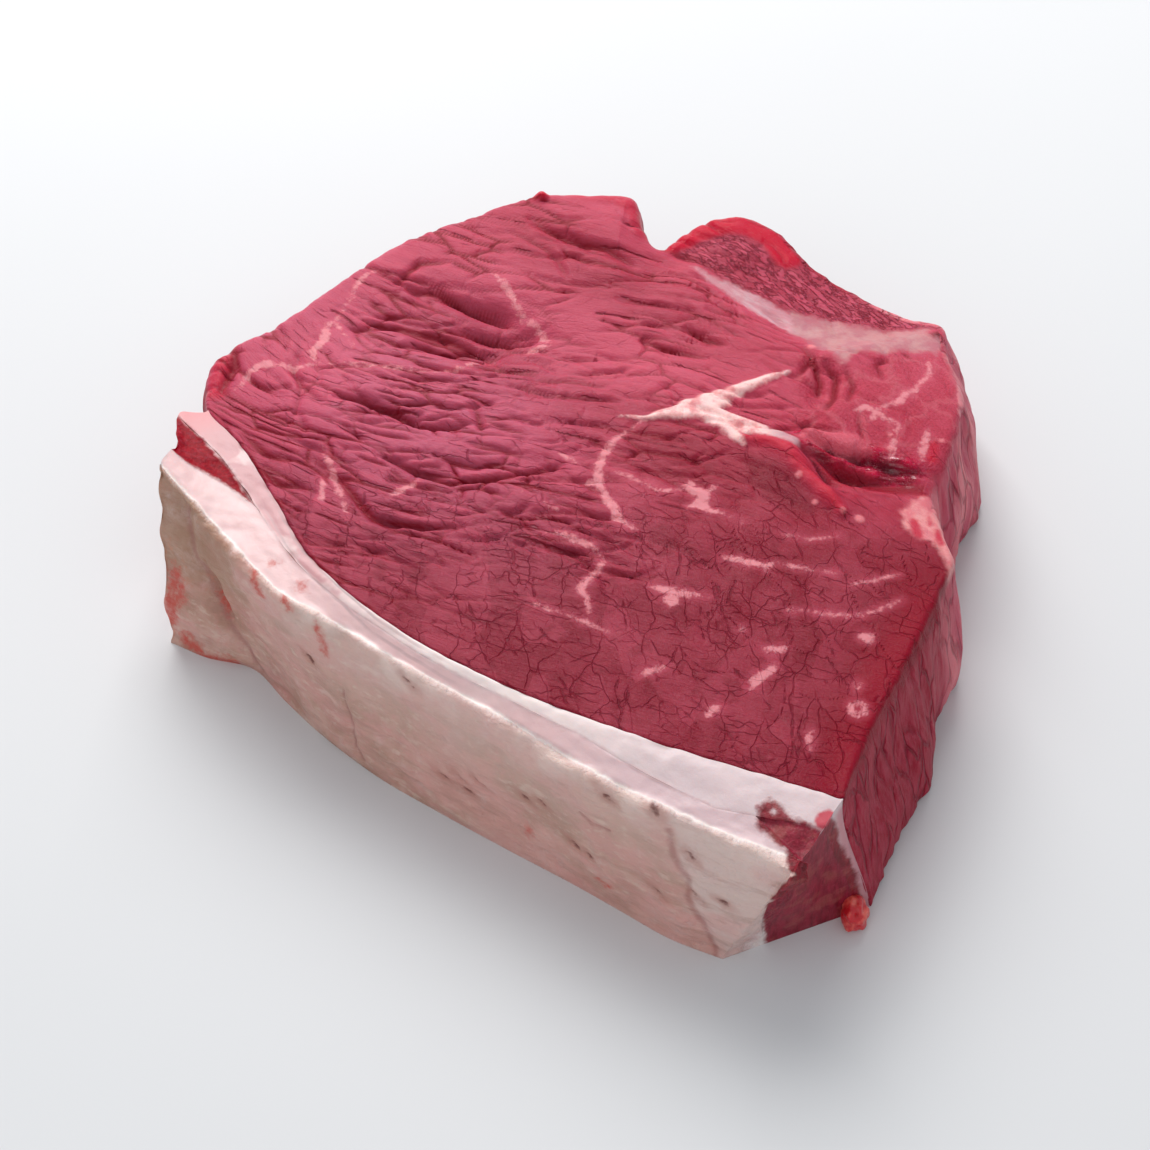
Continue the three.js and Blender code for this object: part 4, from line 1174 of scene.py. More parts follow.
# Folds in it: path, half width, how deep they cut.
FOLDS = [
    ([[0.09, 0.295], [0.102, 0.435], [0.118, 0.58]], 1.5, 1.7),
    ([[0.358, 0.41], [0.378, 0.835], [0.397, 0.92]], 1.2, 0.7),
    ([[0.845, 0.12], [0.866, 0.25], [0.9, 0.36], [0.913, 0.52], [0.955, 0.75], [0.99, 0.99]], 2.2, 0.6),
    ([[0.05, 0.1], [0.07, 0.3], [0.11, 0.62], [0.16, 0.95]], 3.0, 1.2),
    ([[0.735, 0.3], [0.755, 0.34], [0.78, 0.33]], 1.2, 0.6),
]
# Small slanting pits in it: place, depth.
PITS = [
    (0.53, 0.645), (0.558, 0.585), (0.587, 0.525), (0.57, 0.675), (0.658, 0.44), (0.682, 0.41),
    (0.76, 0.075), (0.817, 0.01), (0.747, 0.585), (0.772, 0.605), (0.875, 0.6), (0.918, 0.475),
    (0.955, 0.435), (0.885, 0.2), (0.46, 0.05), (0.3, 0.32),
]
PIT_RADIUS = 0.7
# Small blood spots on the fat's cut face: x, y, radius.
CUT_SPOTS = [(-44.3, -53.2, 0.4), (-34.2, -54.8, 0.7), (-35.4, -54.6, 0.5), (-0.3, -59.0, 0.5)]
# Where the dark muscle shows on the cut face, with a paler spot in it and a red one beside it.
DARK_PATCH = [
    [80.8, -39.8], [81.6, -36.6], [84.4, -36.2], [87.6, -37.2], [90.6, -36.6], [95.9, -36], [99, -34.8],
    [104, -35], [106, -48], [95.3, -48.5], [92, -44.6], [87.3, -44], [83.2, -43.2],
]
PALE_SPOT = (84.6, -38.4, 0.1)
RED_SPOT = np.array([94.2, -33.4, 38.6])
RED_SPOT_RADIUS = 2.3
CAP_SEED = 41
cap_bumps = Noise(CAP_SEED)


def skin_marks(place, depth):
    """Marks of the fat's outer face, as distances in mm inside each: stains, folds and pits."""
    along_skin, down_skin = place * FAT_LENGTH, depth * FAT_DEPTH
    scale = np.array([FAT_LENGTH, FAT_DEPTH])
    stains = [stroke(along_skin, down_skin, np.array(path) * scale, half)[0] for path, half in STAINS]
    folds = [stroke(along_skin, down_skin, np.array(path) * scale)[0] for path, _, _ in FOLDS]
    pits = []
    for pit_place, pit_depth in PITS:
        aside, down = along_skin - pit_place * FAT_LENGTH, down_skin - pit_depth * FAT_DEPTH
        pits.append(PIT_RADIUS - np.hypot(0.4 * aside, 1.3 * (down - 0.3 * aside)))
    return np.max(stains, axis=0), folds, np.max(pits, axis=0)


def at_ends(place):
    """Which points lie on a layer's left or right end."""
    return (place <= place.min()) | (place >= place.max())


def top_relief(points):
    """Low waves of the fat's cut face."""
    x, y, z = points.T
    return 0.25 * cap_bumps(x / 7, y / 4, z / 7) + 0.12 * cap_bumps(x / 2.5, y / 1.6, z / 2.5 + 9)


def fat_relief(points, place, across, depth):
    """Relief of the outer fat: waves on the cut, lumps, folds and pits on the skin side."""
    x, y, z = points.T
    on_skin = np.where(at_ends(place), 1.0, smooth(across, 0.86, 1.0))
    lumps = 1.2 * cap_bumps(x / 19, y / 19, z / 12 + 3) + 0.7 * cap_bumps(x / 8, y / 8, z / 5 + 7)
    fine = 0.3 * cap_bumps(x / 2.4, y / 2.4, z / 2.4)
    _, folds, pit = skin_marks(place, depth)
    cuts = sum(deep * np.exp(-(inside / half) ** 2) for inside, (_, half, deep) in zip(folds, FOLDS))
    skin = (lumps + fine - cuts - 0.6 * smooth(pit, -0.5, 0.6)) * on_skin * smooth(depth, 0, 0.03)
    crest = np.exp(-(depth * FAT_DEPTH / 3.0) ** 2) * smooth(across, 0.7, 1.0)
    crest = crest * (0.8 * cap_bumps(place * 26, 0.5, 5.0) + 0.3 * cap_bumps(place * 61, 3.5, 5.0))
    lobe = 1.8 * (place >= 1) * smooth(across, 0.6, 1.0) * (1 - smooth(depth, 0.08, 0.4))
    inner = smooth(across, 0.0, 0.08)
    return inner * (top_relief(points) * (1 - on_skin) + skin + crest + lobe)


def plain_relief(points, place, across, depth):
    """Relief of the seam: the cut's low waves, none on the hidden sides."""
    inner = smooth(np.minimum(across, 1 - across), 0, 0.04)
    return top_relief(points) * np.where(depth <= 0, 1, inner * at_ends(place))


def muscle_relief(points, place, across, depth):
    """Relief of the cap muscle: coarse fibres that run down the end and along the cut."""
    x, y, z = points.T
    shown = (depth <= 0) | at_ends(place)
    inner = smooth(np.minimum(across, 1 - across), 0, 0.12)
    fibres = 0.12 * cap_bumps(x / 1.8, y / 1.8, z / 7 + 4) + 0.6 * cap_bumps(x / 5, y / 4, z / 6)
    return shown * inner * fibres + (1 - inner) * top_relief(points) * (depth <= 0)


# The flake's middle, half sizes and turn, and how finely its ball is cut.
FLAKE_PLACE = np.array([100.4, -26.6, 3.4])
FLAKE_HALVES = np.array([3.0, 4.6, 3.4])
FLAKE_TURN = math.radians(39)
FLAKE_CUTS = 44, 25
FLAKE_LOW = 0.05


def make_flake(material):
    """The loose flake at the foot of the right end: a ball, stretched, made lumpy and turned.

    The point at turn a and rise b is (cos a cos b, sin a cos b, sin b) times the half sizes.
    """
    turns, rises = FLAKE_CUTS
    a = np.arange(turns) / turns * 2 * math.pi
    b = np.linspace(math.pi / 2, -math.pi / 2, rises + 2)[1:-1, None]
    ball = np.stack([np.cos(a) * np.cos(b), np.sin(a) * np.cos(b), np.sin(b) + 0 * a], axis=-1)
    ball = np.vstack([ball.reshape(-1, 3), [[0, 0, 1], [0, 0, -1]]])
    lumps = 1 + 0.34 * cap_bumps(*(1.6 * ball.T)) + 0.08 * cap_bumps(*(4 * ball.T + 9))
    local = ball * FLAKE_HALVES * lumps[:, None]
    x, y, z = local.T
    c, d = math.cos(FLAKE_TURN), math.sin(FLAKE_TURN)
    points = FLAKE_PLACE + np.stack([c * x - d * y, d * x + c * y, z], axis=-1)
    points[:, 2] = np.maximum(points[:, 2], FLAKE_LOW)
    rows = np.arange(turns * rises).reshape(rises, turns)
    top, low = np.full(turns, len(ball) - 2), np.full(turns, len(ball) - 1)
    caps = np.vstack([np.stack([rows[0], np.roll(rows[0], -1), top], axis=-1),
                      np.stack([np.roll(rows[-1], -1), rows[-1], low], axis=-1)])
    return make_piece("foot_flake", points, join_rows(rows).tolist() + caps.tolist(), {}, material)


# ---- materials ----
def srgb(red, green, blue):
    """Linear colour of a display colour given from 0 to 255."""
    shares = [value / 255 for value in (red, green, blue)]
    return (*[c / 12.92 if c <= 0.04045 else ((c + 0.055) / 1.055) ** 2.4 for c in shares], 1.0)


class Value:
    """A node's output; arithmetic on it adds Math nodes."""

    def __init__(self, shader, socket):
        self.shader = shader
        self.socket = socket

    def math(self, operation, *others):
        inputs = dict(enumerate((self, *others)))
        return self.shader.node("ShaderNodeMath", {"operation": operation}, inputs)

    def __add__(self, other):
        return self.math("ADD", other)

    def __sub__(self, other):
        return self.math("SUBTRACT", other)

    def __mul__(self, other):
        return self.math("MULTIPLY", other)

    def __rsub__(self, other):
        return self.shader.node("ShaderNodeMath", {"operation": "SUBTRACT"}, {0: other, 1: self})

    def __abs__(self):
        return self.math("ABSOLUTE")

    def max(self, other):
        return self.math("MAXIMUM", other)

    def step(self, low, high):
        """0 below low, 1 above high, eased between."""
        inputs = {"Value": self, "From Min": low, "From Max": high}
        return self.shader.node("ShaderNodeMapRange", {"interpolation_type": "SMOOTHSTEP"}, inputs)

    __radd__ = __add__
    __rmul__ = __mul__


class Shader:
    """A material under construction, with the ways of adding to it."""

    def __init__(self, name):
        self.material = bpy.data.materials.new(name)
        self.material.use_nodes = True
        self.tree = self.material.node_tree
        self.tree.nodes.clear()
        self.here = self.object_mm()

    def node(self, kind, settings=None, inputs=None, output=0):
        """Adds a node: its settings first, then its inputs by name or number. Gives an output."""
        node = self.tree.nodes.new(kind)
        for key, setting in (settings or {}).items():
            setattr(node, key, setting)
        for key, value in (inputs or {}).items():
            if isinstance(value, Value):
                self.tree.links.new(value.socket, node.inputs[key])
            else:
                node.inputs[key].default_value = value
        return Value(self, node.outputs[output]) if len(node.outputs) else None

    def mark(self, name):
        """A number that the mesh carries at its points."""
        return self.node("ShaderNodeAttribute", {"attribute_name": name}, output="Fac")

    def places(self, name):
        """A vector that the mesh carries at its points."""
        return self.node("ShaderNodeAttribute", {"attribute_name": name}, output="Vector")

    def object_mm(self, scale=(1, 1, 1), turn=(0, 0, 0)):
        """Object coordinates in mm, turned and then stretched."""
        here = self.node("ShaderNodeTexCoord", output="Object")
        turn = tuple(map(math.radians, turn))
        turned = self.node("ShaderNodeMapping", {}, {"Vector": here, "Rotation": turn})
        return self.stretch(turned, tuple(share / MM for share in scale))

    def stretch(self, vector, scale):
        """A vector with its parts multiplied."""
        return self.node("ShaderNodeVectorMath", {"operation": "MULTIPLY"}, {0: vector, 1: scale})

    def shift(self, vector, other):
        """The sum of two vectors."""
        return self.node("ShaderNodeVectorMath", {"operation": "ADD"}, {0: vector, 1: other})

    def noise(self, vector, scale=1.0, detail=3.0, roughness=0.5, output="Fac"):
        """Smooth noise from 0 to 1, about 0.5."""
        inputs = {"Vector": vector, "Scale": scale, "Detail": detail, "Roughness": roughness}
        return self.node("ShaderNodeTexNoise", {}, inputs, output)

    def walls(self, vector, flat=True):
        """Distance to the walls of scattered cells."""
        settings = {"feature": "DISTANCE_TO_EDGE", "voronoi_dimensions": "2D" if flat else "3D"}
        return self.node("ShaderNodeTexVoronoi", settings, {"Vector": vector, "Scale": 1.0})

    def cells(self, vector):
        """A random number for each of the scattered cells."""
        settings = {"feature": "F1", "voronoi_dimensions": "2D"}
        return self.node("ShaderNodeTexVoronoi", settings, {"Vector": vector, "Scale": 1.0}, "Color")

    def warp(self, vector, scale, amount):
        """A vector shaken by noise of a scale, by an amount."""
        shake = self.noise(vector, scale, 2.0, output="Color")
        return self.shift(vector, self.stretch(shake, (amount, amount, amount)))

    def mix(self, share, a, b):
        """Colour a where the share is 0, b where it is 1."""
        settings = {"data_type": "RGBA", "blend_type": "MIX"}
        return self.node("ShaderNodeMix", settings, {0: share, 6: a, 7: b}, output=2)

    def coats(self, colour, *layers):
        """A colour with others laid over it in turn, each given as its share and itself."""
        for share, layer in layers:
            colour = self.mix(share, colour, layer)
        return colour

    def finish(self, colour, roughness, height, coat, depth=MM, **constants):
        """The surface: moist, slightly translucent, with a bump from the height."""
        bump = self.node("ShaderNodeBump", {}, {"Strength": 1.0, "Distance": depth, "Height": height})
        inputs = {"Base Color": colour, "Roughness": roughness, "Coat Weight": coat, "Normal": bump}
        inputs.update(constants)
        surface = self.node("ShaderNodeBsdfPrincipled", {}, inputs)
        self.node("ShaderNodeOutputMaterial", {}, {"Surface": surface})
        return self.material


# Colours of the lean.
MEAT = srgb(168, 34, 60)
MEAT_LOW = srgb(124, 0, 30)
MEAT_PALE = srgb(204, 84, 108)
# Greyish mauve of the painted sheen.
PAINTED_SHEEN_MAUVE = srgb(188, 92, 120)
MEAT_DEEP = srgb(128, 0, 24)
# Dark red of the cracks, and of the shade painted along the creases.
CRACK_AND_CREASE_SHADE = srgb(96, 0, 22)
MEAT_BRIGHT = srgb(196, 4, 46)
MEAT_DARK = srgb(110, 4, 26)
MARGIN_RED = srgb(146, 0, 32)
LIP_RED = srgb(204, 36, 62)
CREVICE_DEEP = srgb(128, 2, 34)
CREVICE_RED = srgb(200, 22, 68)
CREVICE_LINE = srgb(84, 0, 20)
WALL_MEAT = srgb(148, 14, 42)
WALL_PALE = srgb(176, 64, 84)
SEAM_FAT = srgb(250, 210, 206)
SEAM_PINK = srgb(226, 150, 152)
SEAM_GREY = srgb(186, 142, 152)
VEIN_FAT = srgb(226, 144, 152)
BEAD_FAT = srgb(226, 130, 138)
FILM_PINK = srgb(230, 112, 130)
SILVER = srgb(206, 146, 156)
SILVER_PALE = srgb(214, 176, 182)
PINK_FAT_COLOUR = srgb(178, 106, 118)
PINK_FAT_STREAK = srgb(192, 142, 142)
PINK_FAT_RED = srgb(210, 104, 116)
CORNER_PALE = srgb(226, 152, 152)
CORNER_PINK = srgb(214, 116, 126)
CORNER_MEAT = srgb(190, 32, 62)
# Colours of the fat edge.
CUT_FAT = srgb(238, 219, 216)
CUT_FAT_PINK = srgb(228, 190, 190)
CUT_FAT_GREY = srgb(204, 180, 186)
LEFT_SEAM_PINK = srgb(198, 142, 146)
TIP_PINK = srgb(214, 128, 132)
STRIP_PINK = srgb(196, 118, 128)
RING_GREY = srgb(172, 146, 148)
PARTING_PINK = srgb(206, 150, 152)
CREST_FAT = srgb(248, 238, 232)
SKIN_FAT = srgb(208, 166, 152)
SKIN_TAN = srgb(180, 136, 118)
SKIN_PINK = srgb(212, 148, 144)
SKIN_FLAKE = srgb(222, 200, 184)
SKIN_END = srgb(222, 200, 194)
SKIN_BLUSH = srgb(220, 160, 154)
SKIN_VEIL = srgb(170, 126, 112)
SKIN_HIGH = srgb(236, 212, 204)
SKIN_BROWN = srgb(160, 124, 96)
SKIN_ORANGE = srgb(214, 132, 96)
FOLD_BROWN = srgb(156, 94, 90)
PIT_BRUISE = srgb(176, 112, 100)
PIT_BROWN = srgb(112, 58, 50)
BLOOD = srgb(198, 72, 58)
SPOT_RED = srgb(196, 40, 66)
MUSCLE_FILM = srgb(160, 84, 76)
# Each cap muscle's colour and the deeper colour of its fibres.
EDGE_MUSCLE = srgb(136, 8, 32), srgb(96, 2, 20)
LEFT_MUSCLE = srgb(152, 0, 24), srgb(116, 0, 24)
RIGHT_MUSCLE = srgb(148, 34, 56), srgb(108, 16, 34)
FLAKE_RED = srgb(204, 30, 42)
FLAKE_PALE = srgb(232, 104, 92)
FLOOR_TONES = srgb(214, 215, 217), srgb(222, 223, 225)


class RedMeat(Shader):
    """The lean's material: the noises that its layers share, and a method for each layer."""

    def __init__(self):
        super().__init__("red_meat")
        self.grain = self.places("grain")
        self.ragged = self.noise(self.here, 0.55, 4.0, 0.6) - 0.5
        self.coarse = self.noise(self.here, 0.22, 3.0, 0.6) - 0.5
        self.cloud = self.noise(self.here, 0.06, 4.0, 0.6)
        self.blotch = self.noise(self.here, 0.17, 4.0, 0.65)
        self.grit = self.noise(self.here, 1.5, 3.0, 0.7)
        self.fibre = self.noise(self.stretch(self.grain, (0.35, 1.9, 1)), 1.0, 4.0, 0.7)
        self.streaks = self.noise(self.object_mm((0.12, 0.9, 0.9), (0, 0, -27)), 1.0, 4.0, 0.65)
        self.patches = self.noise(self.object_mm((0.09, 0.09, 0.05)))
        # Paler to the far left and back, deeper to the lower right: partly tone, partly painted light.
        self.blush = self.mark("blush")
        self.low = 1 - self.blush.step(0.1, 0.55)
        self.front = 1 - self.mark("rear").step(-0.5, 0.5)
        self.crevice = (self.mark("wet") + self.ragged * 0.3).step(0.35, 0.8)

    def draw_lines(self):
        """Shares of the fine creases, the grooves, the cracks and the plates between them."""
        fine = self.walls(self.stretch(self.warp(self.grain, 0.25, 2.6), (0.1, 0.34, 1)))
        sparse = self.noise(self.stretch(self.grain, (0.08, 0.25, 1)), 1.0, 2.0).step(0.45, 0.6)
        fade = 1 - self.blush.step(0.5, 0.9) * 0.7
        self.creases = (1 - fine.step(0.0, 0.06)) * sparse * self.front * fade
        line = abs(self.mark("line") + self.ragged * 0.5)
        fine_line = abs(self.mark("fine_line") + self.ragged * 0.4)
        grooves = (1 - line.step(0.08, 0.45)) * self.mark("line_share").step(0.2, 0.7)
        thin = (1 - fine_line.step(0.0, 0.26)) * self.mark("fine_share").step(0.2, 0.8) * 0.8
        broken = self.noise(self.stretch(self.grain, (0.13, 0.3, 1)), 1.0, 2.0).step(0.4, 0.56)
        self.grooves = grooves.max(thin) * broken
        self.cracks = (self.mark("crack") + self.ragged * 0.6).step(-0.14, 0.04)
        plate = self.walls(self.warp(self.object_mm((0.08, 0.15, 1), (0, 0, 51)), 1.3, 0.9))
        plates = 1 - (plate + self.coarse * 0.03).step(0.0, 0.032)
        plates = plates * self.noise(self.here, 0.1, 2.0).step(0.36, 0.56)
        branch = self.walls(self.warp(self.object_mm((0.2, 0.34, 1), (0, 0, 28)), 1.3, 0.7))
        branches = 1 - (branch + self.coarse * 0.05).step(0.0, 0.045)
        branches = branches * self.noise(self.here, 0.14, 2.0).step(0.52, 0.64)
        self.branches = (plates * 0.8).max(branches * 0.4) * self.low * self.front
        knot = self.warp(self.object_mm((0.24, 0.75, 1), (0, 0, 4)), 0.6, 1.2)
        self.knob = self.noise(knot, 1.0, 4.0, 0.6)
        self.knobs = (1 - abs(self.knob - 0.5).step(0.0, 0.05)) * self.mark("crinkle")

    def flesh(self):
        """The meat's colour: deeper to the right, painted mauve sheen to the left, painted shade, clouds,
        fibres.
        """
        low, grit = self.low, self.grit
        shards = self.cells(self.warp(self.object_mm((0.08, 0.15, 1), (0, 0, 51)), 1.3, 0.6))
        rear = (self.mark("rear") + self.ragged * 2).step(-0.4, 0.4)
        return self.coats(
            # Deeper to the lower right, paler to the far left and back: partly tone, partly painted light.
            self.mix(low, MEAT, MEAT_LOW),
            (self.cloud.step(0.35, 0.75) * (0.5 - low * 0.25), MEAT_PALE),
            (self.blush.step(0.35, 1.0) * 0.52, MEAT_PALE),
            # Painted sheen, greyish mauve, on the left of the face.
            (self.mark("painted_sheen") * (0.62 + self.fibre.step(0.3, 0.7) * 0.25), PAINTED_SHEEN_MAUVE),
            (shards.step(0.3, 0.7) * low * 0.2, MEAT_PALE),
            (self.mark("deeper"), MEAT_LOW),
            (self.mark("paler"), MEAT_PALE),
            (self.fibre.step(0.4, 0.8) * (0.3 - low * 0.1), MEAT_PALE),
            (grit.step(0.5, 0.8) * low * 0.2, MEAT_PALE),
            (self.mark("margin") * 0.85, MEAT_LOW),
            (self.mark("small") * grit.step(0.4, 0.65) * 0.35, MEAT_DEEP),
            # Painted sheen on the tops of the folds.
            (self.mark("fold").step(0.05, 0.5) * 0.3, MEAT_PALE),
            (self.blotch.step(0.5, 0.7) * low * 0.45, MEAT_DARK),
            # Painted shade below the lip and in the far corner.
            (self.mark("shade"), MEAT_DARK),
            (rear * 0.32, MEAT_DARK),
            (self.mark("crinkle") * self.knob.step(0.46, 0.6) * 0.6, MEAT_PALE),
        )

    def lined(self, colour):
        """The colour with rims on the small muscle, the bright rims, the dark lines, and painted shade in
        creases.
        """
        cell = self.walls(self.warp(self.object_mm((0.1, 0.1, 1)), 1.5, 0.8))
        rims = (1 - (cell + self.ragged * 0.08).step(0.0, 0.13)) * self.mark("small").step(0.5, 1.0)
        return self.coats(
            colour,
            (self.knobs * 0.5, CRACK_AND_CREASE_SHADE),
            (rims * 0.16, VEIN_FAT),
            (self.mark("bright") * 0.9, MEAT_BRIGHT),
            (self.mark("lip") * 0.6, LIP_RED),
            # Painted shadow along the fine creases and the grooves.
            (self.creases * 0.45, CRACK_AND_CREASE_SHADE),
            (self.grooves * 0.75, CRACK_AND_CREASE_SHADE),
            (self.mark("margin") * (0.12 + self.grit.step(0.35, 0.7) * 0.4), MARGIN_RED),
            (self.branches.max(self.cracks) * 0.62, CRACK_AND_CREASE_SHADE),
            # Painted shade in the carved creases.
            (self.mark("crease_shade").step(0.15, 0.95) * 0.85, MEAT_DEEP),
        )

    def with_crevice(self, colour):
        """The colour with the wet crevice: two reds in blotches, painted highlight streaks, painted shadow
        lines.
        """
        floor = self.mix(self.blotch.step(0.36, 0.58), CREVICE_DEEP, CREVICE_RED)
        # Pale streaks on the crevice floor: painted highlights of the wet surface.
        floor = self.mix(self.streaks.step(0.5, 0.64) * 0.6, floor, MEAT_PALE)
        strand = (self.mark("strand") + self.ragged * 1.6).step(-0.3, 0.9)
        return self.coats(
            colour,
            (self.crevice * (0.65 + self.blotch * 0.5), floor),
            (strand * 0.25, MEAT),
            # Painted shadow in the crevice's deep lines.
            (self.mark("crevice").step(0.3, 0.9) * 0.75, CREVICE_LINE),
        )

    def with_fats(self, colour):
        """The colour with the veins, the silverskin, the fats, the film, the seam and its beads."""
        ragged, coarse, blotch, cloud, grit = self.ragged, self.coarse, self.blotch, self.cloud, self.grit
        halo = (self.mark("vein") + coarse * 3.0).step(-1.8, 0.4)
        self.vein = (self.mark("vein") + ragged * 2.2 + coarse * 1.6 + (grit - 0.5)).step(-0.25, 0.6)
        streak = self.noise(self.object_mm((0.1, 0.45, 1)), 1.0, 4.0, 0.65)
        silver = (self.mark("silver") + ragged * 2 + coarse * 2).step(-0.6, 1.2)
        sheen = self.mix(streak.step(0.4, 0.7), SILVER, SILVER_PALE)
        self.pink = (self.mark("pink_fat") + ragged * 2.4 + coarse * 5.0).step(-1.0, 1.8)
        jelly = self.mix((blotch * 0.6 + cloud * 0.4).step(0.4, 0.6), PINK_FAT_COLOUR, PINK_FAT_STREAK)
        jelly = self.mix(cloud.step(0.5, 0.75) * 0.4, jelly, PINK_FAT_RED)
        self.corner = (self.mark("corner_fat") + ragged * 2.0 + coarse * 2.5).step(-1.2, 0.8)
        corner_red = (self.mark("corner_red") + ragged * 1.6).step(-0.8, 0.8)
        corner_fat = self.mix(blotch.step(0.42, 0.65), CORNER_PALE, CORNER_PINK)
        corner_fat = self.mix(corner_red * 0.9, corner_fat, CORNER_MEAT)
        film = (self.mark("film") + ragged * 4 + coarse * 6).step(-1.2, 2.6)
        self.seam = (self.mark("seam") + ragged * 1.6 + coarse * 1.8).step(-0.7, 0.8)
        cream = self.mix((blotch + ragged * 0.4).step(0.42, 0.66), SEAM_FAT, SEAM_PINK)
        cream = self.mix(self.mark("seam_end") * 0.8, cream, SEAM_GREY)
        bead = (self.mark("bead") + ragged * 0.8).step(-0.5, 0.4)
        return self.coats(
            colour,
            (halo * 0.3, MEAT_PALE),
            (self.vein * 0.8, VEIN_FAT),
            (silver * 0.85, sheen),
            (self.pink * 0.9, jelly),
            (self.corner * 0.9, corner_fat),
            (film * (0.5 + grit.step(0.4, 0.7) * 0.25), FILM_PINK),
            (self.seam * 0.92, cream),
            (bead * 0.8, BEAD_FAT),
        )

    def wall_side(self):
        """Colour and height of the walls: upright fibres, painted light and pale bands at one end, wrinkle
        lines.
        """
        upright = self.noise(self.object_mm((0.8, 0.8, 0.09)), 1.0, 4.0, 0.6)
        bands = self.noise(self.object_mm((0.15, 0.15, 0.012))).step(0.4, 0.66)
        shrunk = self.walls(self.warp(self.object_mm((0.2, 0.2, 0.06), (0, 14, 0)), 1.2, 0.7), flat=False)
        shrunk = (1 - (shrunk + self.ragged * 0.05).step(0.0, 0.09)) * self.patches.step(0.36, 0.56)
        side = self.coats(
            self.mix(upright.step(0.3, 0.7) * 0.7, WALL_MEAT, WALL_PALE),
            (self.patches.step(0.45, 0.7) * 0.4, MEAT),
            # Painted light on the wall by the small muscle.
            (self.mark("small_side") * 0.6, MEAT_PALE),
            (bands * self.mark("small_side") * 0.8, BEAD_FAT),
            (shrunk * 0.4, CRACK_AND_CREASE_SHADE),
        )
        return side, upright * 0.6 - shrunk * 0.7

    def face_height(self):
        """Height of the cut face in mm: fibres and grit with lines cut in, smoother on the fats."""
        fatty = self.seam.max(self.pink).max(self.corner).max(self.vein * 0.6)
        lines = self.cracks.max(self.branches).max(self.creases * 0.8).max(self.knobs).max(self.grooves)
        grain = self.fibre * 0.26 + self.grit * (0.1 + self.mark("small") * 0.25)
        height = grain - lines * 0.25 + self.ragged * 0.12
        wet = (self.grit + self.streaks * 1.5) * self.crevice * 0.3
        return height * (1 - fatty * 0.5) + self.vein * 0.12 + wet


def lean_material():
    """Red meat: fibres and creases along the grain, pale seams and veins, a darker fibrous wall."""
    s = RedMeat()
    s.draw_lines()
    face = s.with_fats(s.with_crevice(s.lined(s.flesh())))
    side, side_height = s.wall_side()
    wall = s.mark("wall").step(0.3, 0.8)
    rough = 0.44 - s.fibre * 0.14 - s.crevice * 0.2 - s.mark("bright") * 0.08 + wall * 0.1
    height = s.node("ShaderNodeMix", {"data_type": "FLOAT"}, {0: wall, 2: s.face_height(), 3: side_height})
    glint = s.streaks.step(0.5, 0.6) * s.grit.step(0.36, 0.5)
    return s.finish(s.mix(wall, face, side), rough, height, s.crevice * (glint + 0.03), **{
        "Specular IOR Level": 0.12, "Coat Roughness": 0.08,
        "Subsurface Weight": 0.45, "Subsurface Radius": (1.0, 0.2, 0.15), "Subsurface Scale": 1.6 * MM,
    })


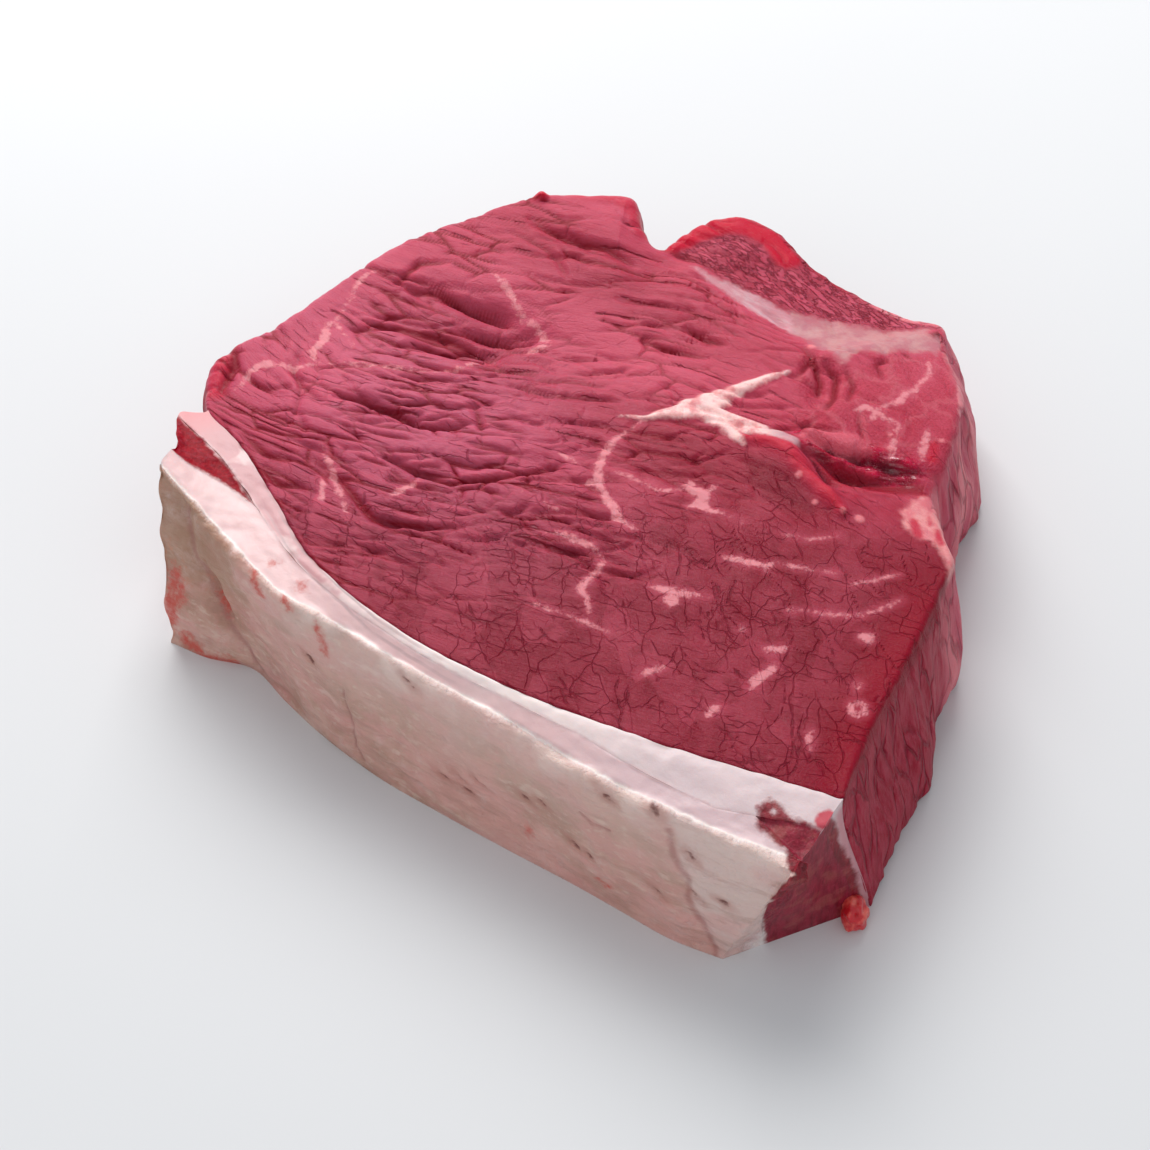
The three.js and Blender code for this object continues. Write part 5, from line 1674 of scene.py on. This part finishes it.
class FatEdge(Shader):
    """The material of a layer of the fat edge: shared noises, and a method for each finish."""

    def __init__(self, name):
        super().__init__(name)
        self.ragged = self.noise(self.here, 0.35, 4.0, 0.6) - 0.5
        self.cloud = self.noise(self.here, 0.09, 3.0, 0.55)
        self.speck = self.noise(self.here, 0.7, 3.0, 0.6)
        self.skin = (self.mark("skin") + self.ragged * 0.7 + (self.cloud - 0.5) * 0.5).step(0.35, 1.0)
        lean_line = self.mark("from_lean") + (self.noise(self.here, 0.06) - 0.5) * 3.0
        self.rings = (lean_line * 1.7).math("SINE")
        self.near_lean = (1 - self.mark("from_lean").step(3.5, 7.5)) * self.mark("middle")
        flake = self.object_mm((0.22, 0.22, 0.5), (20, 0, 0))
        self.flakes = self.noise(flake, 1.0, 4.0, 0.65)
        self.veil = self.noise(self.object_mm((0.05, 0.3, 0.35), (0, 0, -8)), 1.0, 5.0, 0.65)
        self.fibres = self.noise(self.object_mm((0.9, 0.9, 0.2)), 1.0, 4.0, 0.6)

    def cut_fat(self):
        """Cut fat: cream, pinker beyond the seam, with grey rings near the lean and a white crest."""
        ragged, cloud, seam_line = self.ragged, self.cloud, self.mark("seam_line")
        beyond = (seam_line + ragged * 1.4).step(-0.3, 0.5)
        parting = 1 - abs(seam_line + ragged * 1.6).step(0.0, 0.7)
        crest = (self.mark("skin") + ragged * 0.6).step(0.1, 0.5) * (1 - self.skin)
        return self.coats(
            self.mix((cloud * 0.5 + beyond * 0.5).step(0.35, 0.8), CUT_FAT, CUT_FAT_PINK),
            (self.mark("left_seam") * (0.95 - cloud.step(0.5, 0.6) * 0.5), LEFT_SEAM_PINK),
            (self.mark("far_right") * 0.65, CUT_FAT_GREY),
            (self.mark("tip") * 0.7, TIP_PINK),
            (self.mark("right_strip") * 0.8, STRIP_PINK),
            (self.rings.step(0.5, 1.0) * self.near_lean * cloud.step(0.3, 0.6) * 0.6, RING_GREY),
            (parting * 0.35, PARTING_PINK),
            (crest * 0.8, CREST_FAT),
        )

    def skin_side(self):
        """The outer face: mottled tan and pink, with flakes, a veil, folds, bruises and pits."""
        ragged, cloud, pit = self.ragged, self.cloud, self.mark("pit")
        rosy = self.noise(self.object_mm((0.05, 0.05, 0.12)), 1.0, 4.0, 0.6).step(0.45, 0.62)
        blush = self.noise(self.object_mm((0.03, 0.03, 0.05)), 1.0, 3.0, 0.6).step(0.48, 0.62)
        fold = (self.mark("fold_line") + 1 + ragged * 0.8).step(0.35, 1.0)
        return self.coats(
            self.mix(cloud.step(0.35, 0.65), SKIN_FAT, SKIN_TAN),
            (self.speck.step(0.45, 0.75) * 0.4, SKIN_PINK),
            (rosy * 0.5, SKIN_PINK),
            (self.flakes.step(0.52, 0.68) * 0.45, SKIN_FLAKE),
            (self.mark("pale_end") * 0.7, SKIN_END),
            (blush * 0.5, SKIN_BLUSH),
            (self.veil.step(0.5, 0.64) * 0.4, SKIN_VEIL),
            (self.mark("high") * (0.5 + cloud.step(0.4, 0.65) * 0.5), SKIN_HIGH),
            ((self.mark("tan") + ragged * 0.5).step(0.2, 0.7) * 0.6, SKIN_BROWN),
            (fold * 0.5, FOLD_BROWN),
            ((pit + ragged * 2.0).step(-2.2, 0.3) * 0.45, PIT_BRUISE),
            ((pit + ragged * 2.4).step(-0.2, 0.5) * 0.8, PIT_BROWN),
        )

    def stained(self, colour):
        """The colour with blood stains, and orange specks round them on the tan part."""
        specks = self.mark("tan") * self.speck.step(0.5, 0.7) * self.mark("stain").step(-9.0, -2.0)
        stain = (self.mark("stain") + self.ragged * 4.5 + (self.speck - 0.5) * 2.0).step(-1.6, 1.6)
        return self.coats(colour, (specks * 0.5, SKIN_ORANGE), (stain * (0.4 + self.speck * 0.8), BLOOD))

    def flesh(self, tints, film_share):
        """Red muscle: fibres in two reds, pale specks, and a brownish film in patches."""
        film = self.noise(self.object_mm((0.16, 0.16, 0.3)), 1.0, 4.0, 0.6).step(0.5, 0.64)
        return self.coats(
            self.mix(self.fibres.step(0.35, 0.7) * 0.8, *tints),
            (self.speck.step(0.5, 0.75) * 0.2, MEAT_PALE),
            (film * film_share, MUSCLE_FILM),
        )


def cap_material(name, tints, film_share=0.0, specular=0.35):
    """The fat edge: cream cut fat with grey lines, tan skin with pits, and red muscle where it lies."""
    s = FatEdge(name)
    red = (s.mark("muscle") + s.ragged * 2.8 + (s.cloud - 0.5) * 2.4).step(-0.7, 0.9)
    spot = (s.mark("red_spot") + s.ragged * 2.0).step(-0.5, 0.5)
    fat = s.stained(s.mix(s.skin, s.cut_fat(), s.skin_side()))
    colour = s.coats(fat, (red, s.flesh(tints, film_share)), (spot * 0.9, SPOT_RED))
    rough = 0.42 + s.skin * 0.12 + red * 0.04
    height = s.speck * 0.2 * (0.4 + s.skin) + s.cloud * 0.3 - s.rings * s.near_lean * 0.04
    height = height + s.fibres * red * 0.25 + (s.flakes * 0.6 + s.veil * 0.6) * s.skin
    return s.finish(colour, rough, height, 0.1 - red * 0.1, **{
        "Specular IOR Level": specular, "Coat Roughness": 0.3,
        "Subsurface Weight": 0.25, "Subsurface Radius": (1.0, 0.55, 0.4), "Subsurface Scale": 2.0 * MM,
    })


def flake_material():
    """Orange-red, wet fatty flake."""
    s = Shader("wet_flake")
    cloud = s.noise(s.here, 0.3, 4.0, 0.6)
    colour = s.mix(cloud.step(0.45, 0.66), FLAKE_RED, FLAKE_PALE)
    return s.finish(colour, 0.3 + cloud * 0.1, cloud, 0.4, 0.5 * MM, **{
        "Specular IOR Level": 0.35, "Coat Roughness": 0.15,
        "Subsurface Weight": 0.4, "Subsurface Radius": (1.0, 0.3, 0.2), "Subsurface Scale": 1.5 * MM,
    })


def floor_material():
    """Plain pale matt floor."""
    s = Shader("pale_floor")
    colour = s.mix(s.noise(s.here, 0.004, 2.0), *FLOOR_TONES)
    surface = s.node("ShaderNodeBsdfPrincipled", {}, {"Base Color": colour, "Roughness": 0.9})
    s.node("ShaderNodeOutputMaterial", {}, {"Surface": surface})
    return s.material


# ---- camera, light and floor ----
LENS_MM = 81.39
SENSOR_MM = 36
NEAR_CLIP = 0.01
TARGET = Vector((2.4, -27.4, 20.0)) * MM
CAMERA_TURN = 39
CAMERA_RISE = 48
CAMERA_AWAY = 0.6118
FLOOR_SIZE = 6.0
SKY_COLOUR = (0.93, 0.96, 1.0, 1.0)
SKY_STRENGTH = 0.52
# Lights: name, place in metres, size, watts, colour.
LIGHTS = [
    ("window", (-0.72, 0.62, 0.95), 0.9, 19.0, (1.0, 0.99, 0.97)),
    ("fill", (0.4, -1.2, 0.9), 1.2, 3.0, (1.0, 0.98, 0.97)),
]


def aim(thing, place, target):
    """Puts a camera or light at a place and turns it to a target."""
    thing.location = place
    thing.rotation_euler = (target - place).to_track_quat("-Z", "Y").to_euler()


def make_camera():
    """The camera, by its turn round the object, its rise over the horizon and its distance."""
    data = bpy.data.cameras.new("camera")
    data.lens = LENS_MM
    data.sensor_width = SENSOR_MM
    data.clip_start = NEAR_CLIP
    camera = bpy.data.objects.new("camera", data)
    bpy.context.scene.collection.objects.link(camera)
    turn, rise = math.radians(CAMERA_TURN), math.radians(CAMERA_RISE)
    back = Vector((math.sin(turn) * math.cos(rise), -math.cos(turn) * math.cos(rise), math.sin(rise)))
    aim(camera, TARGET + back * CAMERA_AWAY, TARGET)
    bpy.context.scene.camera = camera


def make_light(name, place, size, watts, colour):
    """A square soft light aimed at the object."""
    data = bpy.data.lights.new(name, "AREA")
    data.size = size
    data.energy = watts
    data.color = colour
    light = bpy.data.objects.new(name, data)
    bpy.context.scene.collection.objects.link(light)
    aim(light, Vector(place), TARGET)


def make_studio():
    """Pale floor, an even pale sky, and soft lights."""
    bpy.context.scene.view_settings.view_transform = "Standard"
    world = bpy.data.worlds.new("sky")
    world.use_nodes = True
    background = world.node_tree.nodes["Background"]
    background.inputs["Color"].default_value = SKY_COLOUR
    background.inputs["Strength"].default_value = SKY_STRENGTH
    bpy.context.scene.world = world
    for light in LIGHTS:
        make_light(*light)
    mesh = bpy.data.meshes.new("floor")
    h = FLOOR_SIZE / 2
    mesh.from_pydata([(-h, -h, 0), (h, -h, 0), (h, h, 0), (-h, h, 0)], [], [(0, 1, 2, 3)])
    mesh.materials.append(floor_material())
    floor = bpy.data.objects.new("floor", mesh)
    bpy.context.scene.collection.objects.link(floor)


# ---- the steak ----
def place_piece(piece, node):
    """Rides a piece on the steak in place of a solid."""
    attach(piece, "root")
    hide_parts(node)


def spaced(count, first=0.0, last=1.0):
    """Evenly spaced places, across shares or depths, from the first to the last."""
    return np.linspace(first, last, count)


def lean_side(place, depth):
    """Distance from the lean to its own face, which is 0 everywhere."""
    return np.zeros_like(place + depth)


make_camera()
make_studio()
place_piece(make_lean(lean_material()), "lean")

CAP_PLACES = spaced(441)
# The skin's rows lie closer together under its top edge.
SKIN_DEPTHS = np.concatenate([[0, 0.01, 0.025, 0.045, 0.07], spaced(54, 0.09)])
CAP_FILM = 0.4

pale = cap_material("pale_seam", EDGE_MUSCLE, CAP_FILM)
lattice = CAP_PLACES, spaced(15), spaced(26)
seam = make_layer("seam_layer", pale, *lattice, lean_side, seam_outer, 0, plain_relief)
place_piece(seam, "seam_fat")

bright = cap_material("bright_muscle", LEFT_MUSCLE, specular=0.1)
lattice = spaced(70, 0, 0.158), spaced(23), spaced(45)
left = make_layer("left_muscle", bright, *lattice, seam_outer, muscle_outer, MUSCLE_DIP, muscle_relief)
place_piece(left, "cap_muscle_left")

dark = cap_material("dark_muscle", RIGHT_MUSCLE, CAP_FILM, specular=0.25)
lattice = spaced(40, 0.927), spaced(41), spaced(61)
right = make_layer("right_muscle", dark, *lattice, seam_outer, muscle_outer, MUSCLE_DIP, muscle_relief)
place_piece(right, "cap_muscle_right")

outer = cap_material("outer_fat", EDGE_MUSCLE, CAP_FILM)
lattice = CAP_PLACES, spaced(21), SKIN_DEPTHS
fat = make_layer("outer_fat_cap", outer, *lattice, muscle_outer, skin_distance, 0, fat_relief)
place_piece(fat, "fat_cap")

flake = make_flake(flake_material())
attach(flake, "root")
